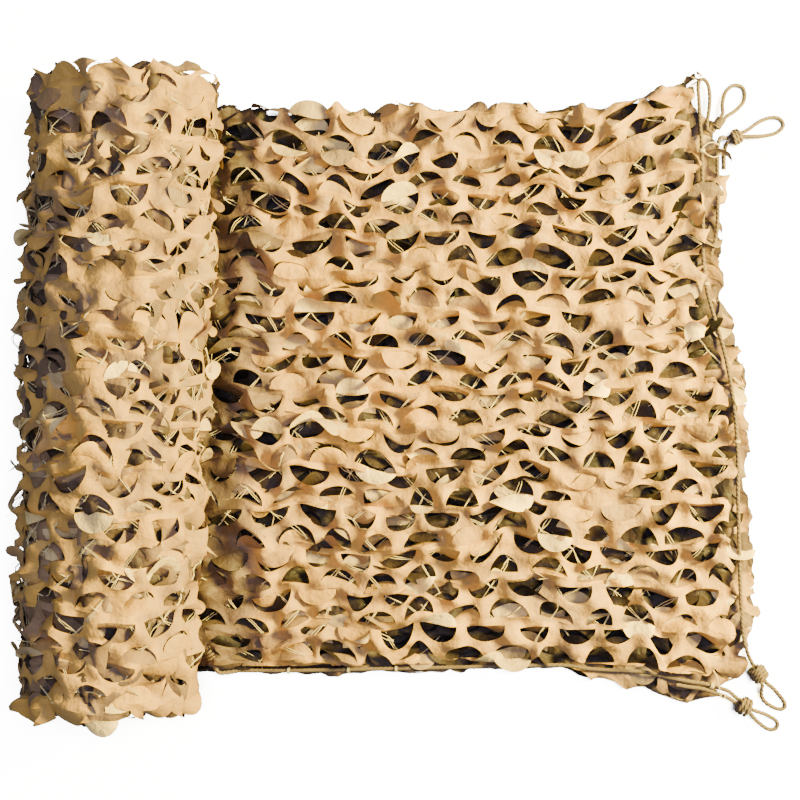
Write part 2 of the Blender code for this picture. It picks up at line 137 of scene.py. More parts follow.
# The loose end, folded back and forth in three layers.
LAYER_PITCH = 0.013
LAYER_WIDTH = 0.826
LOWEST_LAYER = 0.001
FOLD_RADIUS = LAYER_PITCH / 2
FOLD_RUN = math.pi * FOLD_RADIUS
FOLD_REACH = FOLD_RADIUS + 0.001
CLOTH_RUN = 3 * LAYER_WIDTH + 2 * FOLD_RUN
FIRST_FOLD = LAYER_WIDTH + FOLD_RUN / 2
SECOND_FOLD = 2 * LAYER_WIDTH + 1.5 * FOLD_RUN
SHEET_SPAN = (-0.345, 0.560)
SHEET_SEED = 11
SHEET_PUFF = 1.35  # how much higher the top layer's rises are
# From the lowest layer up. Columns: from and to along the folded cloth, how the flaps lie, and
# near the edges, height of the rises, how much the tone varies, share of pale flaps, turned, snug.
LAYERS = (
    (-1.0, FIRST_FOLD, FLAPS_MIDDLE, FLAPS_MIDDLE, 0.4, 0.5, 0.0, False, True),
    (FIRST_FOLD, SECOND_FOLD, FLAPS_MIDDLE, FLAPS_EDGE_TURNED, 0.9, 0.85, 0.34, True, False),
    (SECOND_FOLD, 9.0, FLAPS_TOP, FLAPS_EDGE, SHEET_PUFF, 0.24, 0.0, False, False),
)
# Their string mesh, which hangs under the cloth. Columns: seed, from, to, how far out of the
# surface, which faces down on the middle layer, pitch.
LAYER_STRINGS = (
    (31, SECOND_FOLD + 0.012, CLOTH_RUN, -0.0044, 0.052),
    (32, FIRST_FOLD + 0.012, SECOND_FOLD - 0.012, 0.0026, 0.072),
)
FIRST_ROW = 0.0125 - ROW
# Painted shade on the layers under the top one, which lifts where they stand out from under it.
LAYER_SHADE_TONES = (0.018, 0.060)  # the lowest layer's and the middle one's, under the top one
OUT_TONES = (0.62, 0.90)  # how far each comes back to the cloth's tone where it stands out
EDGE_FADE = (0.004, 0.016)  # where that begins, behind the top one's edge, and how long it takes
# Painted shadow of the roll on the cloth beside it: where it fades, its wavy edge, and its depth.
ROLL_SHADOW_FADE = (0.052, 0.085)  # where the dullness beside the roll begins to fade, and how long
ROLL_SHADOW_WAVES = (0.026, 0.055, 92)  # reach, size, seed
ROLL_SHADOW_TONE = 0.12  # how dull all of them are beside the roll
TOP_SETBACK = 0.035  # how far the top layer stays behind the lower ones at the end edge
TONE_LIMIT = 1.12  # how much lighter than the rest a leaf may be
# The outline. Columns: y, x.
END_EDGE = (
    (-0.454, 0.466), (-0.395, 0.513), (-0.307, 0.530), (-0.159, 0.524),
    (-0.012, 0.518), (0.106, 0.496), (0.135, 0.481), (0.356, 0.480),
    (0.393, 0.468), (0.418, 0.441), (0.462, 0.438),
)
# How ragged the end edge is, and the two long edges. Columns: reach, size, seed.
END_RAG = ((0.006, 0.10, 5), (0.0045, 0.032, 7))
LONG_RAG = ((0.005, 0.08, 6), (0.004, 0.03, 8))
# Columns: x, y of the upper long edge, of the lower fold, and of the top layer's free edge.
LONG_EDGES = (
    (-0.370, 0.418, -0.4185, -0.4035),
    (-0.141, 0.418, -0.4185, -0.4030),
    (0.242, 0.420, -0.4110, -0.3960),
    (0.286, 0.421, -0.4230, -0.3990),
    (0.360, 0.436, -0.4375, -0.4040),
    (0.418, 0.459, -0.4625, -0.4130),
    (0.477, 0.464, -0.4510, -0.4230),
)
# The top layer's swells. Columns: x, y, reach along x, reach along y, height.
SWELLS = (
    (0.400, 0.430, 0.110, 0.070, 0.012),
    (0.410, -0.390, 0.070, 0.050, 0.007),
    (-0.235, 0.060, 0.050, 0.200, 0.007),
    (0.050, 0.120, 0.160, 0.100, 0.005),
    (0.240, -0.200, 0.120, 0.110, 0.006),
)

# The roll. Columns: y, the axis's x, radius.
ROLL_LINE = (
    (-0.447, -0.4055, 0.1215),
    (-0.362, -0.4045, 0.1235),
    (-0.162, -0.4000, 0.1260),
    (0.038, -0.3940, 0.1270),
    (0.238, -0.3860, 0.1275),
    (0.440, -0.3780, 0.1280),
)
ROLL_FLAT = 0.0025  # how far the floor flattens it
MEAN_RADIUS = 0.126  # the radius at which cloth is measured round the roll
ROLL_LUMPS = (0.0028, 0.16, 41)  # height, size, seed
AROUND = 2 * math.pi * MEAN_RADIUS
ROLL_ENDS = (ROLL_LINE[0][0] + 0.006, ROLL_LINE[-1][0] - 0.004)
ROLL_CELLS = 12  # holes round an outer turn
ROLL_PUFF = 1.3  # how much higher its rises are
# Its outer turns. Columns: how far in, how far aside, seed, how the flaps lie, and on the roll's
# sides, tone with painted shade on the turns further in, how much that varies, share of pale flaps,
# snug.
OUTER_TURNS = (
    (0.000, 0.000, 51, FLAPS_ROLL, FLAPS_FLANK, 1.0, 0.24, 0.0, False),
    (0.0068, 0.019, 61, FLAPS_ROLL, FLAPS_MIDDLE, 0.42, 0.6, 0.30, False),
    (0.0140, 0.041, 71, FLAPS_MIDDLE, FLAPS_MIDDLE, 0.12, 0.6, 0.30, True),
)
OVERRUN = 0.03  # how far the pattern is laid beyond the roll's ends
END_RAG_ROLL = (0.009, 0.08)  # reach, size
SIDES = (-0.62, 0.80)  # where the roll's sides begin, as shares of its radius from the axis
END_ZONE = 0.045
# The turns that show at its ends.
END_TURNS = 7
END_TURN_RADIUS = 0.112
END_TURN_PITCH = 0.0135
END_TURN_WIDTH = 0.075
# A dark surface for the imported turns: painted shade behind the holes.
CORE_INSET = 0.026
CORE_SHADE_TONE = 0.08

# Ropes and knots, where the part has them.
ROPE_RADIUS = 0.003
ROPE_Z = 0.0203
ROPE_STEP = 0.0022
ROPE_LAY = 0.021  # how far a strand runs in one turn round the others
STRANDS = 3
STRAND_OUT = 0.42  # from the rope's middle to a strand's, as a share of the rope's radius
STRAND_SIZE = 0.62
STRAND = 0.0035  # from a knot's axis to each rope that leaves it
GAP = 0.0003
LEAD = 0.006
THICK_KNOT = 0.01  # knots with a larger radius have turns of the whole rope
THIN_TURN = 0.0019
# Columns: x, y, z, direction in degrees, length, radius, turns.
KNOTS = {
    "loop_whipping_1": (0.4745, 0.3945, 0.0232, 54.0, 0.018, 0.0078, 4),
    "loop_knot_2": (0.5024, 0.376, 0.0125, 19.0, 0.016, 0.0122, 2),
    "loop_knot_3": (0.535, -0.416, 0.0143, -60.0, 0.024, 0.0140, 3),
    "loop_knot_4": (0.5134, -0.464, 0.0153, -36.0, 0.020, 0.0150, 2),
    "side_rope_wrap": (-0.2705, -0.388, 0.0358, -68.0, 0.021, 0.0072, 3),
}
# Columns: along the knot's axis from its cap, to the left of that axis, height.
LOOPS = {
    "corner_loop_1": ("loop_whipping_1", 1, (
        (0.0197, 0.0125, 0.018), (0.0373, 0.0179, 0.0105), (0.0516, 0.0156, 0.0055),
        (0.058, 0.0094, 0.0038), (0.0598, 0.0006, 0.0034), (0.053, -0.0077, 0.0045),
        (0.0424, -0.012, 0.0085), (0.0303, -0.0112, 0.014), (0.019, -0.0085, 0.0188),
    )),
    "corner_loop_2": ("loop_knot_2", 1, (
        (0.018, 0.0062, 0.0112), (0.032, 0.0106, 0.0075), (0.048, 0.0118, 0.0045),
        (0.0604, 0.0086, 0.0034), (0.0663, 0.0019, 0.0034), (0.0665, -0.0055, 0.0034),
        (0.0606, -0.0104, 0.0034), (0.0503, -0.0129, 0.0036), (0.0347, -0.0112, 0.0055),
        (0.0183, -0.0074, 0.0106),
    )),
    "corner_loop_3": ("loop_knot_3", -1, (
        (0.014, -0.009, 0.0112), (0.0246, -0.012, 0.0066), (0.0355, -0.01, 0.0038),
        (0.0471, -0.0035, 0.0034), (0.0543, 0.0042, 0.0034), (0.0533, 0.0112, 0.0034),
        (0.0448, 0.0134, 0.0036), (0.031, 0.0115, 0.0058), (0.017, 0.008, 0.0108),
    )),
    "corner_loop_4": ("loop_knot_4", -1, (
        (0.019, -0.0064, 0.0105), (0.034, -0.0074, 0.0052), (0.0455, -0.006, 0.0034),
        (0.0515, 0.0005, 0.0034), (0.0502, 0.0075, 0.0034), (0.0432, 0.0104, 0.0034),
        (0.029, 0.0092, 0.0062), (0.0165, 0.0065, 0.012),
    )),
}
# The other ropes: (knot, end, how far left) or None at each end, and x, y, z between. A point
# without z is at ROPE_Z.
ROPES = {
    "end_rope": (("loop_knot_3", -1, 0.0), (
        (0.5212, -0.3915, 0.0162), (0.516, -0.3785, 0.0206), (0.513, -0.366), (0.5097, -0.336),
        (0.5068, -0.277), (0.5053, -0.218), (0.5038, -0.159), (0.5038, -0.115), (0.5024, -0.071),
        (0.4994, -0.034), (0.4935, 0.01), (0.483, 0.0616), (0.47, 0.106), (0.4596, 0.1427),
        (0.454, 0.1795), (0.452, 0.216), (0.452, 0.2826), (0.4512, 0.3195), (0.4505, 0.3577),
        (0.448, 0.3975), (0.4462, 0.43), (0.445, 0.446, 0.0205), (0.4465, 0.457, 0.0208),
        (0.453, 0.4595, 0.0212), (0.459, 0.452, 0.0216), (0.4616, 0.438, 0.022),
        (0.4612, 0.421, 0.0226), (0.4592, 0.406, 0.0231), (0.4574, 0.394, 0.0233),
        (0.4592, 0.3838, 0.0232),
    ), ("loop_whipping_1", -1, 0.0)),
    "end_rope_lower": (("loop_knot_2", -1, STRAND), (
        (0.4836, 0.3748, 0.0184), (0.4778, 0.3738, 0.0214), (0.475, 0.366), (0.4738, 0.356),
        (0.4736, 0.3341), (0.4742, 0.283), (0.4735, 0.245), (0.47, 0.222), (0.4635, 0.202),
    ), None),
    "side_rope": (("side_rope_wrap", 1, 0.0), (
        (-0.259, -0.412, 0.0325), (-0.248, -0.413, 0.0262), (-0.236, -0.4118, 0.0218),
        (-0.224, -0.411), (-0.141, -0.411), (0.006, -0.408), (0.124, -0.4055), (0.2417, -0.403),
        (0.2858, -0.4085), (0.3595, -0.4126), (0.3889, -0.4185), (0.4331, -0.4273),
        (0.4538, -0.4303), (0.4744, -0.436), (0.49, -0.4412, 0.0206),
    ), ("loop_knot_4", -1, STRAND)),
    "side_rope_return": (("loop_knot_4", -1, -STRAND), (
        (0.486, -0.4495, 0.0206), (0.47, -0.444), (0.452, -0.438), (0.43, -0.435),
        (0.413, -0.4318),
    ), None),
    "side_rope_turn": (("side_rope_wrap", -1, 0.0), (
        (-0.281, -0.365, 0.0345), (-0.2885, -0.36, 0.0325), (-0.3, -0.359, 0.0318),
        (-0.3154, -0.36, 0.0318),
    ), None),
    "rope_tail": (("loop_knot_2", -1, -STRAND), (
        (0.4885, 0.362, 0.007), (0.4868, 0.35, 0.004), (0.4868, 0.33, 0.0034),
    ), None),
}
# Columns: rope, x or y of the middle, the axis that it runs along (0 is X), turns.
LASHINGS = (
    ("end_rope", 0.356, 1, 3),
    ("end_rope", 0.16, 1, 2),
    ("end_rope", -0.072, 1, 2),
    ("side_rope", -0.157, 0, 2),
    ("side_rope", -0.069, 0, 2),
    ("side_rope", 0.002, 0, 2),
    ("side_rope", 0.466, 0, 3),
)
LASHING_CORD = 0.0009
LASHING_REACH = 0.0039
LASHING_PITCH = 0.0018
# A string end that leaves a lashing: the lashing's number, and x, y, z along it.
TIES = {
    1: (
        (0.4508, 0.3587, 0.025), (0.46, 0.3655, 0.0262), (0.47, 0.365, 0.0248),
        (0.478, 0.359, 0.0228), (0.4775, 0.35, 0.0226), (0.468, 0.3445, 0.024),
        (0.4575, 0.348, 0.0256), (0.4512, 0.354, 0.025),
    ),
    7: (
        (0.464, -0.4073, 0.0258), (0.47, -0.416, 0.0262), (0.4729, -0.425, 0.0262),
        (0.475, -0.435, 0.025), (0.4774, -0.4485, 0.0222), (0.4815, -0.451, 0.024),
        (0.484, -0.447, 0.025), (0.48, -0.444, 0.024), (0.477, -0.45, 0.0225),
    ),
}

# The string mesh.
STRING_PITCH = 0.049
STRING_TURN = math.radians(38)
STRING_JITTER = 0.013
STRING_HEIGHTS = (-0.0015, 0.0020)
STRING_RADIUS = 0.0006
STRING_SPREADS = (0.0008, 0.0024)  # from a bar's middle to each of its two strings
STRING_BOW = 0.0020
STRING_SAGS = (-0.0035, 0.0010)
BARS_KEPT = 0.82
STRING_KNOT = 0.0014
CUT_ENDS = 0.35
CUT_END_LENGTHS = (0.006, 0.022)
CUT_END_RADIUS = 0.00048

FLOOR_CLEARANCE = 0.0004


# Numbers


def rng(seed):
    return np.random.default_rng(seed)


def waves(x, y, size, seed, count=7):
    """Smooth unevenness over a surface, mostly from -1 to 1, with bumps about that size apart."""
    r = rng(seed)
    total = 0.0
    for _ in range(count):
        angle, rate, start = r.uniform(0, math.pi), r.uniform(0.6, 1.5), r.uniform(0, 2 * math.pi)
        along = x * math.cos(angle) + y * math.sin(angle)
        total = total + np.sin(along * (2 * math.pi * rate / size) + start)
    return total / math.sqrt(count)


def several(x, y, seed, sizes):
    """Waves of several sizes together. Columns of sizes: height, size, added to the seed."""
    total = 0.0
    for height, size, more in sizes:
        total = total + height * waves(x, y, size, seed + more)
    return total


def uneven(s, t, relief, seed):
    """How far cloth stands off its smooth surface. relief(s, t) makes its rises higher."""
    h = several(s, t, seed, UNEVEN)
    return h * np.where(h > 0, relief(s, t), np.minimum(relief(s, t), 1.0))


def between(table, at, column):
    """A column's value along a table's first column, eased from row to row."""
    rows = np.array(table)
    keys = rows[:, 0]
    at = np.clip(at, keys[0], keys[-1])
    k = np.clip(np.searchsorted(keys, at) - 1, 0, len(keys) - 2)
    share = (at - keys[k]) / (keys[k + 1] - keys[k])
    share = share * share * (3 - 2 * share)
    return rows[k, column] * (1 - share) + rows[k + 1, column] * share


def unit(v):
    return v / np.maximum(np.linalg.norm(v, axis=-1, keepdims=True), 1e-12)


def along_lines(lines):
    """How far along its line each point is."""
    steps = np.linalg.norm(np.diff(lines, axis=-2), axis=-1)
    return np.concatenate([np.zeros(lines.shape[:-2] + (1,)), steps.cumsum(-1)], -1)


def level_axes(degrees):
    """A level direction, and the one to its left."""
    along = np.array([math.cos(math.radians(degrees)), math.sin(math.radians(degrees)), 0.0])
    return along, np.array([-along[1], along[0], 0.0])


# Building meshes


def ring_quads(many, rings, sides):
    """The numbers of points in closed rings, and the quads from each ring to the next."""
    a = np.arange(many * rings * sides).reshape(many, rings, sides)
    b = np.roll(a, -1, axis=2)
    return a, np.stack([a[:, :-1], b[:, :-1], b[:, 1:], a[:, 1:]], -1)


def placed(name, data):
    """An object in the scene."""
    made = bpy.data.objects.new(name, data)
    bpy.context.scene.collection.objects.link(made)
    return made


class Mesh:
    """Points, faces and each point's cloth coordinates, tone and turned side, piece by piece."""

    def __init__(self):
        self.points, self.faces, self.flat, self.tone, self.under = [], [], [], [], []
        self.count = 0

    def add(self, points, faces, flat, tone, under=0.0):
        points = np.asarray(points, float).reshape(-1, 3)
        self.points.append(points)
        self.faces.append(np.asarray(faces, int) + self.count)
        self.flat.append(np.asarray(flat, float).reshape(-1, 2))
        for kept, values in ((self.tone, tone), (self.under, under)):
            values = np.asarray(values, float).ravel()
            kept.append(np.broadcast_to(values, (len(points),)))
        self.count += len(points)

    def make(self, name, material):
        points = np.concatenate(self.points)
        points[:, 2] = np.maximum(points[:, 2], FLOOR_CLEARANCE)
        faces = [face for array in self.faces for face in array.tolist()]
        corners = np.concatenate([array.ravel() for array in self.faces])
        mesh = bpy.data.meshes.new(name)
        mesh.from_pydata(points, [], faces, shade_flat=False)
        mesh.validate()
        layer = mesh.uv_layers.new(name="cloth")
        layer.data.foreach_set("uv", np.concatenate(self.flat)[corners].ravel())
        for name_of, values in (("tone", self.tone), ("under", self.under)):
            made = mesh.attributes.new(name_of, "FLOAT", "POINT")
            made.data.foreach_set("value", np.concatenate(values))
        mesh.materials.append(material)
        return placed(name, mesh)


def tubes(mesh, lines, radius, sides, up, tone, caps=False):
    """Round tubes on lines, an array of (tubes, points, 3), with a side turned towards up."""
    lines = np.asarray(lines, float)
    many, long = lines.shape[:2]
    along = unit(np.gradient(lines, axis=1))
    across = unit(np.cross(along, up))
    rise = np.cross(across, along)
    turn = np.arange(sides) * (2 * math.pi / sides)
    ring = np.cos(turn)[:, None] * across[:, :, None] + np.sin(turn)[:, None] * rise[:, :, None]
    points = lines[:, :, None] + ring * radius
    a, quads = ring_quads(many, long, sides)
    far = along_lines(lines)[:, :, None]
    flat = np.stack(np.broadcast_arrays(far, (turn * radius)[None, None, :]), -1)
    start = mesh.count
    tone = np.broadcast_to(np.asarray(tone, float).reshape(-1, 1, 1), (many, long, sides))
    mesh.add(points, quads.reshape(-1, 4), flat, tone)
    if caps:
        for row in (a[:, 0], a[:, -1, ::-1]):
            mesh.faces.append(row + start)


# Ropes


def smooth_route(route, step):
    """Points a step apart on a smooth curve through the route's own points."""
    route = np.asarray(route, float)
    ends = np.concatenate([[2 * route[0] - route[1]], route, [2 * route[-1] - route[-2]]])
    t = (np.arange(24) / 24.0)[:, None]
    fine = []
    for a, b, c, d in zip(ends, ends[1:], ends[2:], ends[3:]):
        bend = (2 * a - 5 * b + 4 * c - d) * t * t + (3 * b - a - 3 * c + d) * t * t * t
        fine.append((2 * b + (c - a) * t + bend) / 2)
    fine = np.concatenate(fine + [route[-1:]])
    far = along_lines(fine)
    at = np.linspace(0, far[-1], max(3, round(far[-1] / step) + 1))
    return np.stack([np.interp(at, far, fine[:, k]) for k in range(3)], 1)


def knot_end(knot, end, sideways):
    """Where a rope leaves a knot, and which way."""
    x, y, z, degrees, length = KNOTS[knot][:5]
    along, left = level_axes(degrees)
    return np.array([x, y, z]) + along * (end * length / 2) + left * sideways, along * end


def tied(start, route, end):
    """A rope's route, with its lead out of the knot at each tied end."""
    rows = [[], []]
    for k, knot in enumerate((start, end)):
        if knot:
            place, away = knot_end(*knot)
            rows[k] = [place + away * GAP, place + away * (GAP + LEAD)]
    return rows[0] + [np.array([*row, ROPE_Z][:3]) for row in route] + rows[1][::-1]


def loop_route(name):
    """A corner loop's route, out of its knot and back to it."""
    knot, first, rows = LOOPS[name]
    cap, _ = knot_end(knot, 1, 0.0)
    along, left = level_axes(KNOTS[knot][3])
    route = []
    for forward, leftward, height in rows:
        x, y, _ = cap + along * forward + left * leftward
        route.append((x, y, height))
    return tied((knot, 1, first * STRAND), route, (knot, 1, -first * STRAND))


def twisted(mesh, line, radius=ROPE_RADIUS):
    """A laid rope on a line of close points: its strands wind round each other."""
    line = np.asarray(line)
    along = unit(np.gradient(line, axis=0))
    side = unit(np.cross(along[0], [0.31, 0.17, 0.93]))  # by a way that no rope runs
    across = []
    for a in along:
        side = unit(side - a * side.dot(a))
        across.append(side)
    across = np.array(across)
    rise = np.cross(across, along)
    far = along_lines(line)
    for k in range(STRANDS):
        turn = (far * (2 * math.pi / ROPE_LAY) + 2 * math.pi * k / STRANDS)[:, None]
        strand = line + (np.cos(turn) * across + np.sin(turn) * rise) * (STRAND_OUT * radius)
        tubes(mesh, strand[None], STRAND_SIZE * radius, 7, [0.13, 0.29, 0.95], 1.0, caps=True)


def coil_line(knot, reach, length, turns, start, wobble=0.0):
    """A helix round a knot's axis."""
    x, y, z, degrees = KNOTS[knot][:4]
    along, left = level_axes(degrees)
    t = np.linspace(0, 1, max(16, int(turns * 22)))
    angle = 2 * math.pi * turns * t + start
    r = reach * (1 + wobble * np.sin(angle * 0.5 + 1.0))
    up = np.array([0.0, 0.0, 1.0])
    place = along * ((t - 0.5) * length)[:, None] + left * (r * np.cos(angle))[:, None]
    return np.array([x, y, z]) + place + up * (r * np.sin(angle))[:, None]


# The cloth's surfaces: each gives the place and the three directions of points of flat cloth


def section(run, x):
    """(y, z) of the folded cloth's section, and its level from 0 to 2."""
    run = np.clip(run, 0.0, CLOTH_RUN)
    span = LAYER_WIDTH + FOLD_RUN
    layer = np.clip(np.floor(run / span), 0, 2)
    rest = run - layer * span
    turning = np.clip((rest - LAYER_WIDTH) / FOLD_RUN, 0.0, 1.0)
    on = np.clip(rest / LAYER_WIDTH, 0.0, 1.0)
    up = layer == 1
    share = np.where(up, on, 1.0 - on)
    level = np.minimum(layer + (1 - np.cos(math.pi * turning)) / 2, 2.0)
    bulge = np.where(up, 1.0, -1.0) * FOLD_RADIUS * np.sin(math.pi * turning)
    bulge = np.where(layer == 2, 0.0, bulge)
    low = between(LONG_EDGES, x, 2) + FOLD_REACH
    free = between(LONG_EDGES, x, 3)
    low = np.where((level > 1.5) & (share < 1.0), free, low)
    high = between(LONG_EDGES, x, 1) - FOLD_REACH
    y = low + (high - low) * share + bulge
    upper = np.maximum(0.0, level - 1.0)
    swell = 0.0
    for sx, sy, rx, ry, height in SWELLS:
        swell = swell + height * np.exp(-(((x - sx) / rx) ** 2) - ((y - sy) / ry) ** 2)
    z = LOWEST_LAYER + level * LAYER_PITCH + swell * upper
    return y, z, level


def setback(y):
    """The top layer's setback, which ends at the upper corner."""
    return TOP_SETBACK * np.clip((0.445 - y) / 0.06, 0.0, 1.0)


def flat_surface(s, t):
    """The loose end: s runs along X, and t down its width and round its folds."""
    y, z, _ = section(t, s)
    y1, z1, _ = section(t + 2e-4, s)
    y0, z0, _ = section(t - 2e-4, s)
    zero = np.zeros_like(s)
    place = np.stack([s, y, z], -1)
    down = unit(np.stack([zero, y1 - y0, z1 - z0], -1))
    side = np.broadcast_to(np.array([1.0, 0.0, 0.0]), down.shape)
    return place, side, down, np.cross(down, side)


def roll_at(y):
    """The x of the roll's axis, its radius, and the height of its axis."""
    radius = between(ROLL_LINE, y, 2)
    return between(ROLL_LINE, y, 1), radius, radius - ROLL_FLAT


def flank(y, z):
    """Where a layer at height z meets the roll."""
    middle, radius, axis = roll_at(y)
    return middle + np.sqrt(np.maximum(radius**2 - (axis - z) ** 2, 0.0))


def roll_surface(inset, turn_radius=None):
    """The roll: s runs round it and t along it. One of its turns, that much further in, or one
    of the inner turns at its ends, which has its own radius."""

    def surface(s, t):
        angle = s / MEAN_RADIUS
        middle, radius, axis = roll_at(t)
        height, size, seed = ROLL_LUMPS
        lumps = height * waves(np.cos(angle) * 0.13, np.sin(angle) * 0.13 + t, size, seed)
        if turn_radius is None:
            reach = radius + lumps - inset
        else:
            reach = (turn_radius + lumps) * (1 + 0.05 * np.cos(2 * angle + turn_radius * 90))
        zero = np.zeros_like(angle)
        out = np.stack([np.sin(angle), zero, -np.cos(angle)], -1)
        side = np.stack([np.cos(angle), zero, np.sin(angle)], -1)
        run = np.broadcast_to(np.array([0.0, 1.0, 0.0]), side.shape)
        x = middle + reach * np.sin(angle)
        return np.stack([x, t, axis - reach * np.cos(angle)], -1), side, run, out

    return surface


# The die-cut cloth


def hole_outline():
    """A hole's outline round from its right corner: over the arch, then back along the sill."""
    turn = np.linspace(0, math.pi, ARC_STEPS + 1)
    arch = np.stack([HOLE_HALF_WIDTH * np.cos(turn), HOLE_HEIGHT * np.sin(turn)], -1)
    along = np.linspace(-1, 1, SILL_STEPS + 1)[1:-1]
    sill = np.stack([along * HOLE_HALF_WIDTH, 0 * along], -1)
    return np.concatenate([arch, sill]) - [0.0, HOLE_SILL]


def cell_outline(pitch, row):
    """The brick round a hole, with a point for each of the hole's."""
    x, y = pitch / 2, row / 2
    across = np.linspace(-x, x, 9)
    sides = [(x, -y / 2), (x, 0), (x, y / 2)]
    top = [(u, y) for u in across[::-1]]
    left = [(-x, y / 2), (-x, 0), (-x, -y / 2)]
    bottom = [(u, -y) for u in across]
    return np.array(sides + top + left + bottom)


def drawn_in(inside, s, t):
    """Points beyond the cloth's edge, moved to it. inside(s, t) is the distance from the edge."""
    e = 1e-4
    outside = inside(s, t) < 0
    for _ in range(4):
        value = inside(s, t)
        slope_s = (inside(s + e, t) - value) / e
        slope_t = (inside(s, t + e) - value) / e
        k = value / np.maximum(slope_s**2 + slope_t**2, 0.3)
        k = np.where(outside & (value < 0), np.clip(k, -0.03, 0.0), 0.0)
        s, t = s - k * slope_s, t - k * slope_t
    return s, t


def own_tones(r, spread, many):
    """How light each leaf is beside the others."""
    return np.minimum(np.exp(r.normal(0.0, spread, (many, 1, 1))), TONE_LIMIT)


def flap_angles(r, flaps, zones, s, t):
    """The angle at each flap's hinge, and the bend along the flap."""

    def drawn(flaps):
        table = np.array(flaps, float)
        return table[r.choice(len(table), len(s), p=table[:, 0])]

    rows = drawn(flaps)
    for here, flaps_here in zones:
        rows = np.where(here(s, t)[:, None], drawn(flaps_here), rows)
    at_hinge = np.radians(r.uniform(rows[:, 1], rows[:, 2]))
    return at_hinge, np.radians(r.uniform(rows[:, 3], rows[:, 4]))


def flap_points(hinge, run, out, arch, length, at_hinge, bending, cup, twist):
    """Each flap's points, row by row from its hinge, and how far along the hinge they are."""
    chord = hinge[:, 0] - hinge[:, -1]
    across = unit(chord)
    ahead = unit(np.cross(out, across) * arch[:, None])
    ahead = ahead * np.sign((ahead * run).sum(-1) * arch)[:, None]
    up = unit(np.cross(ahead, across))
    up = up * np.sign((up * out).sum(-1))[:, None]
    angle = at_hinge[:, None] + bending[:, None] * FLAP_SHARES
    steps = np.diff(FLAP_SHARES, prepend=0.0) * length[:, None]
    forward = np.cumsum(np.cos(angle) * steps, 1)
    height = np.cumsum(np.sin(angle) * steps, 1)
    half = np.linalg.norm(chord, axis=-1)[:, None, None] / 2
    x = half * FLAP_WIDTHS[:, None] * FLAP_ACROSS
    grown = FLAP_SHARES[:, None]
    dish = cup * grown * (FLAP_WIDTHS[:, None] * FLAP_ACROSS) ** 2 + x * np.sin(twist * grown)
    x = x * np.cos(twist * grown)
    f = forward[:, :, None] - dish * np.sin(angle)[:, :, None]
    g = height[:, :, None] + dish * np.cos(angle)[:, :, None]
    middle = (hinge[:, 0] + hinge[:, -1]) / 2
    base = hinge - middle[:, None] - across[:, None] * (half[:, 0] * FLAP_ACROSS)[..., None]
    points = (
        middle[:, None, None]
        + base[:, None] * (1 - grown[..., None]) * FLAP_WIDTHS[:, None, None]
        + across[:, None, None] * x[..., None]
        + ahead[:, None, None] * f[..., None]
        + up[:, None, None] * g[..., None]
    )
    return points, x


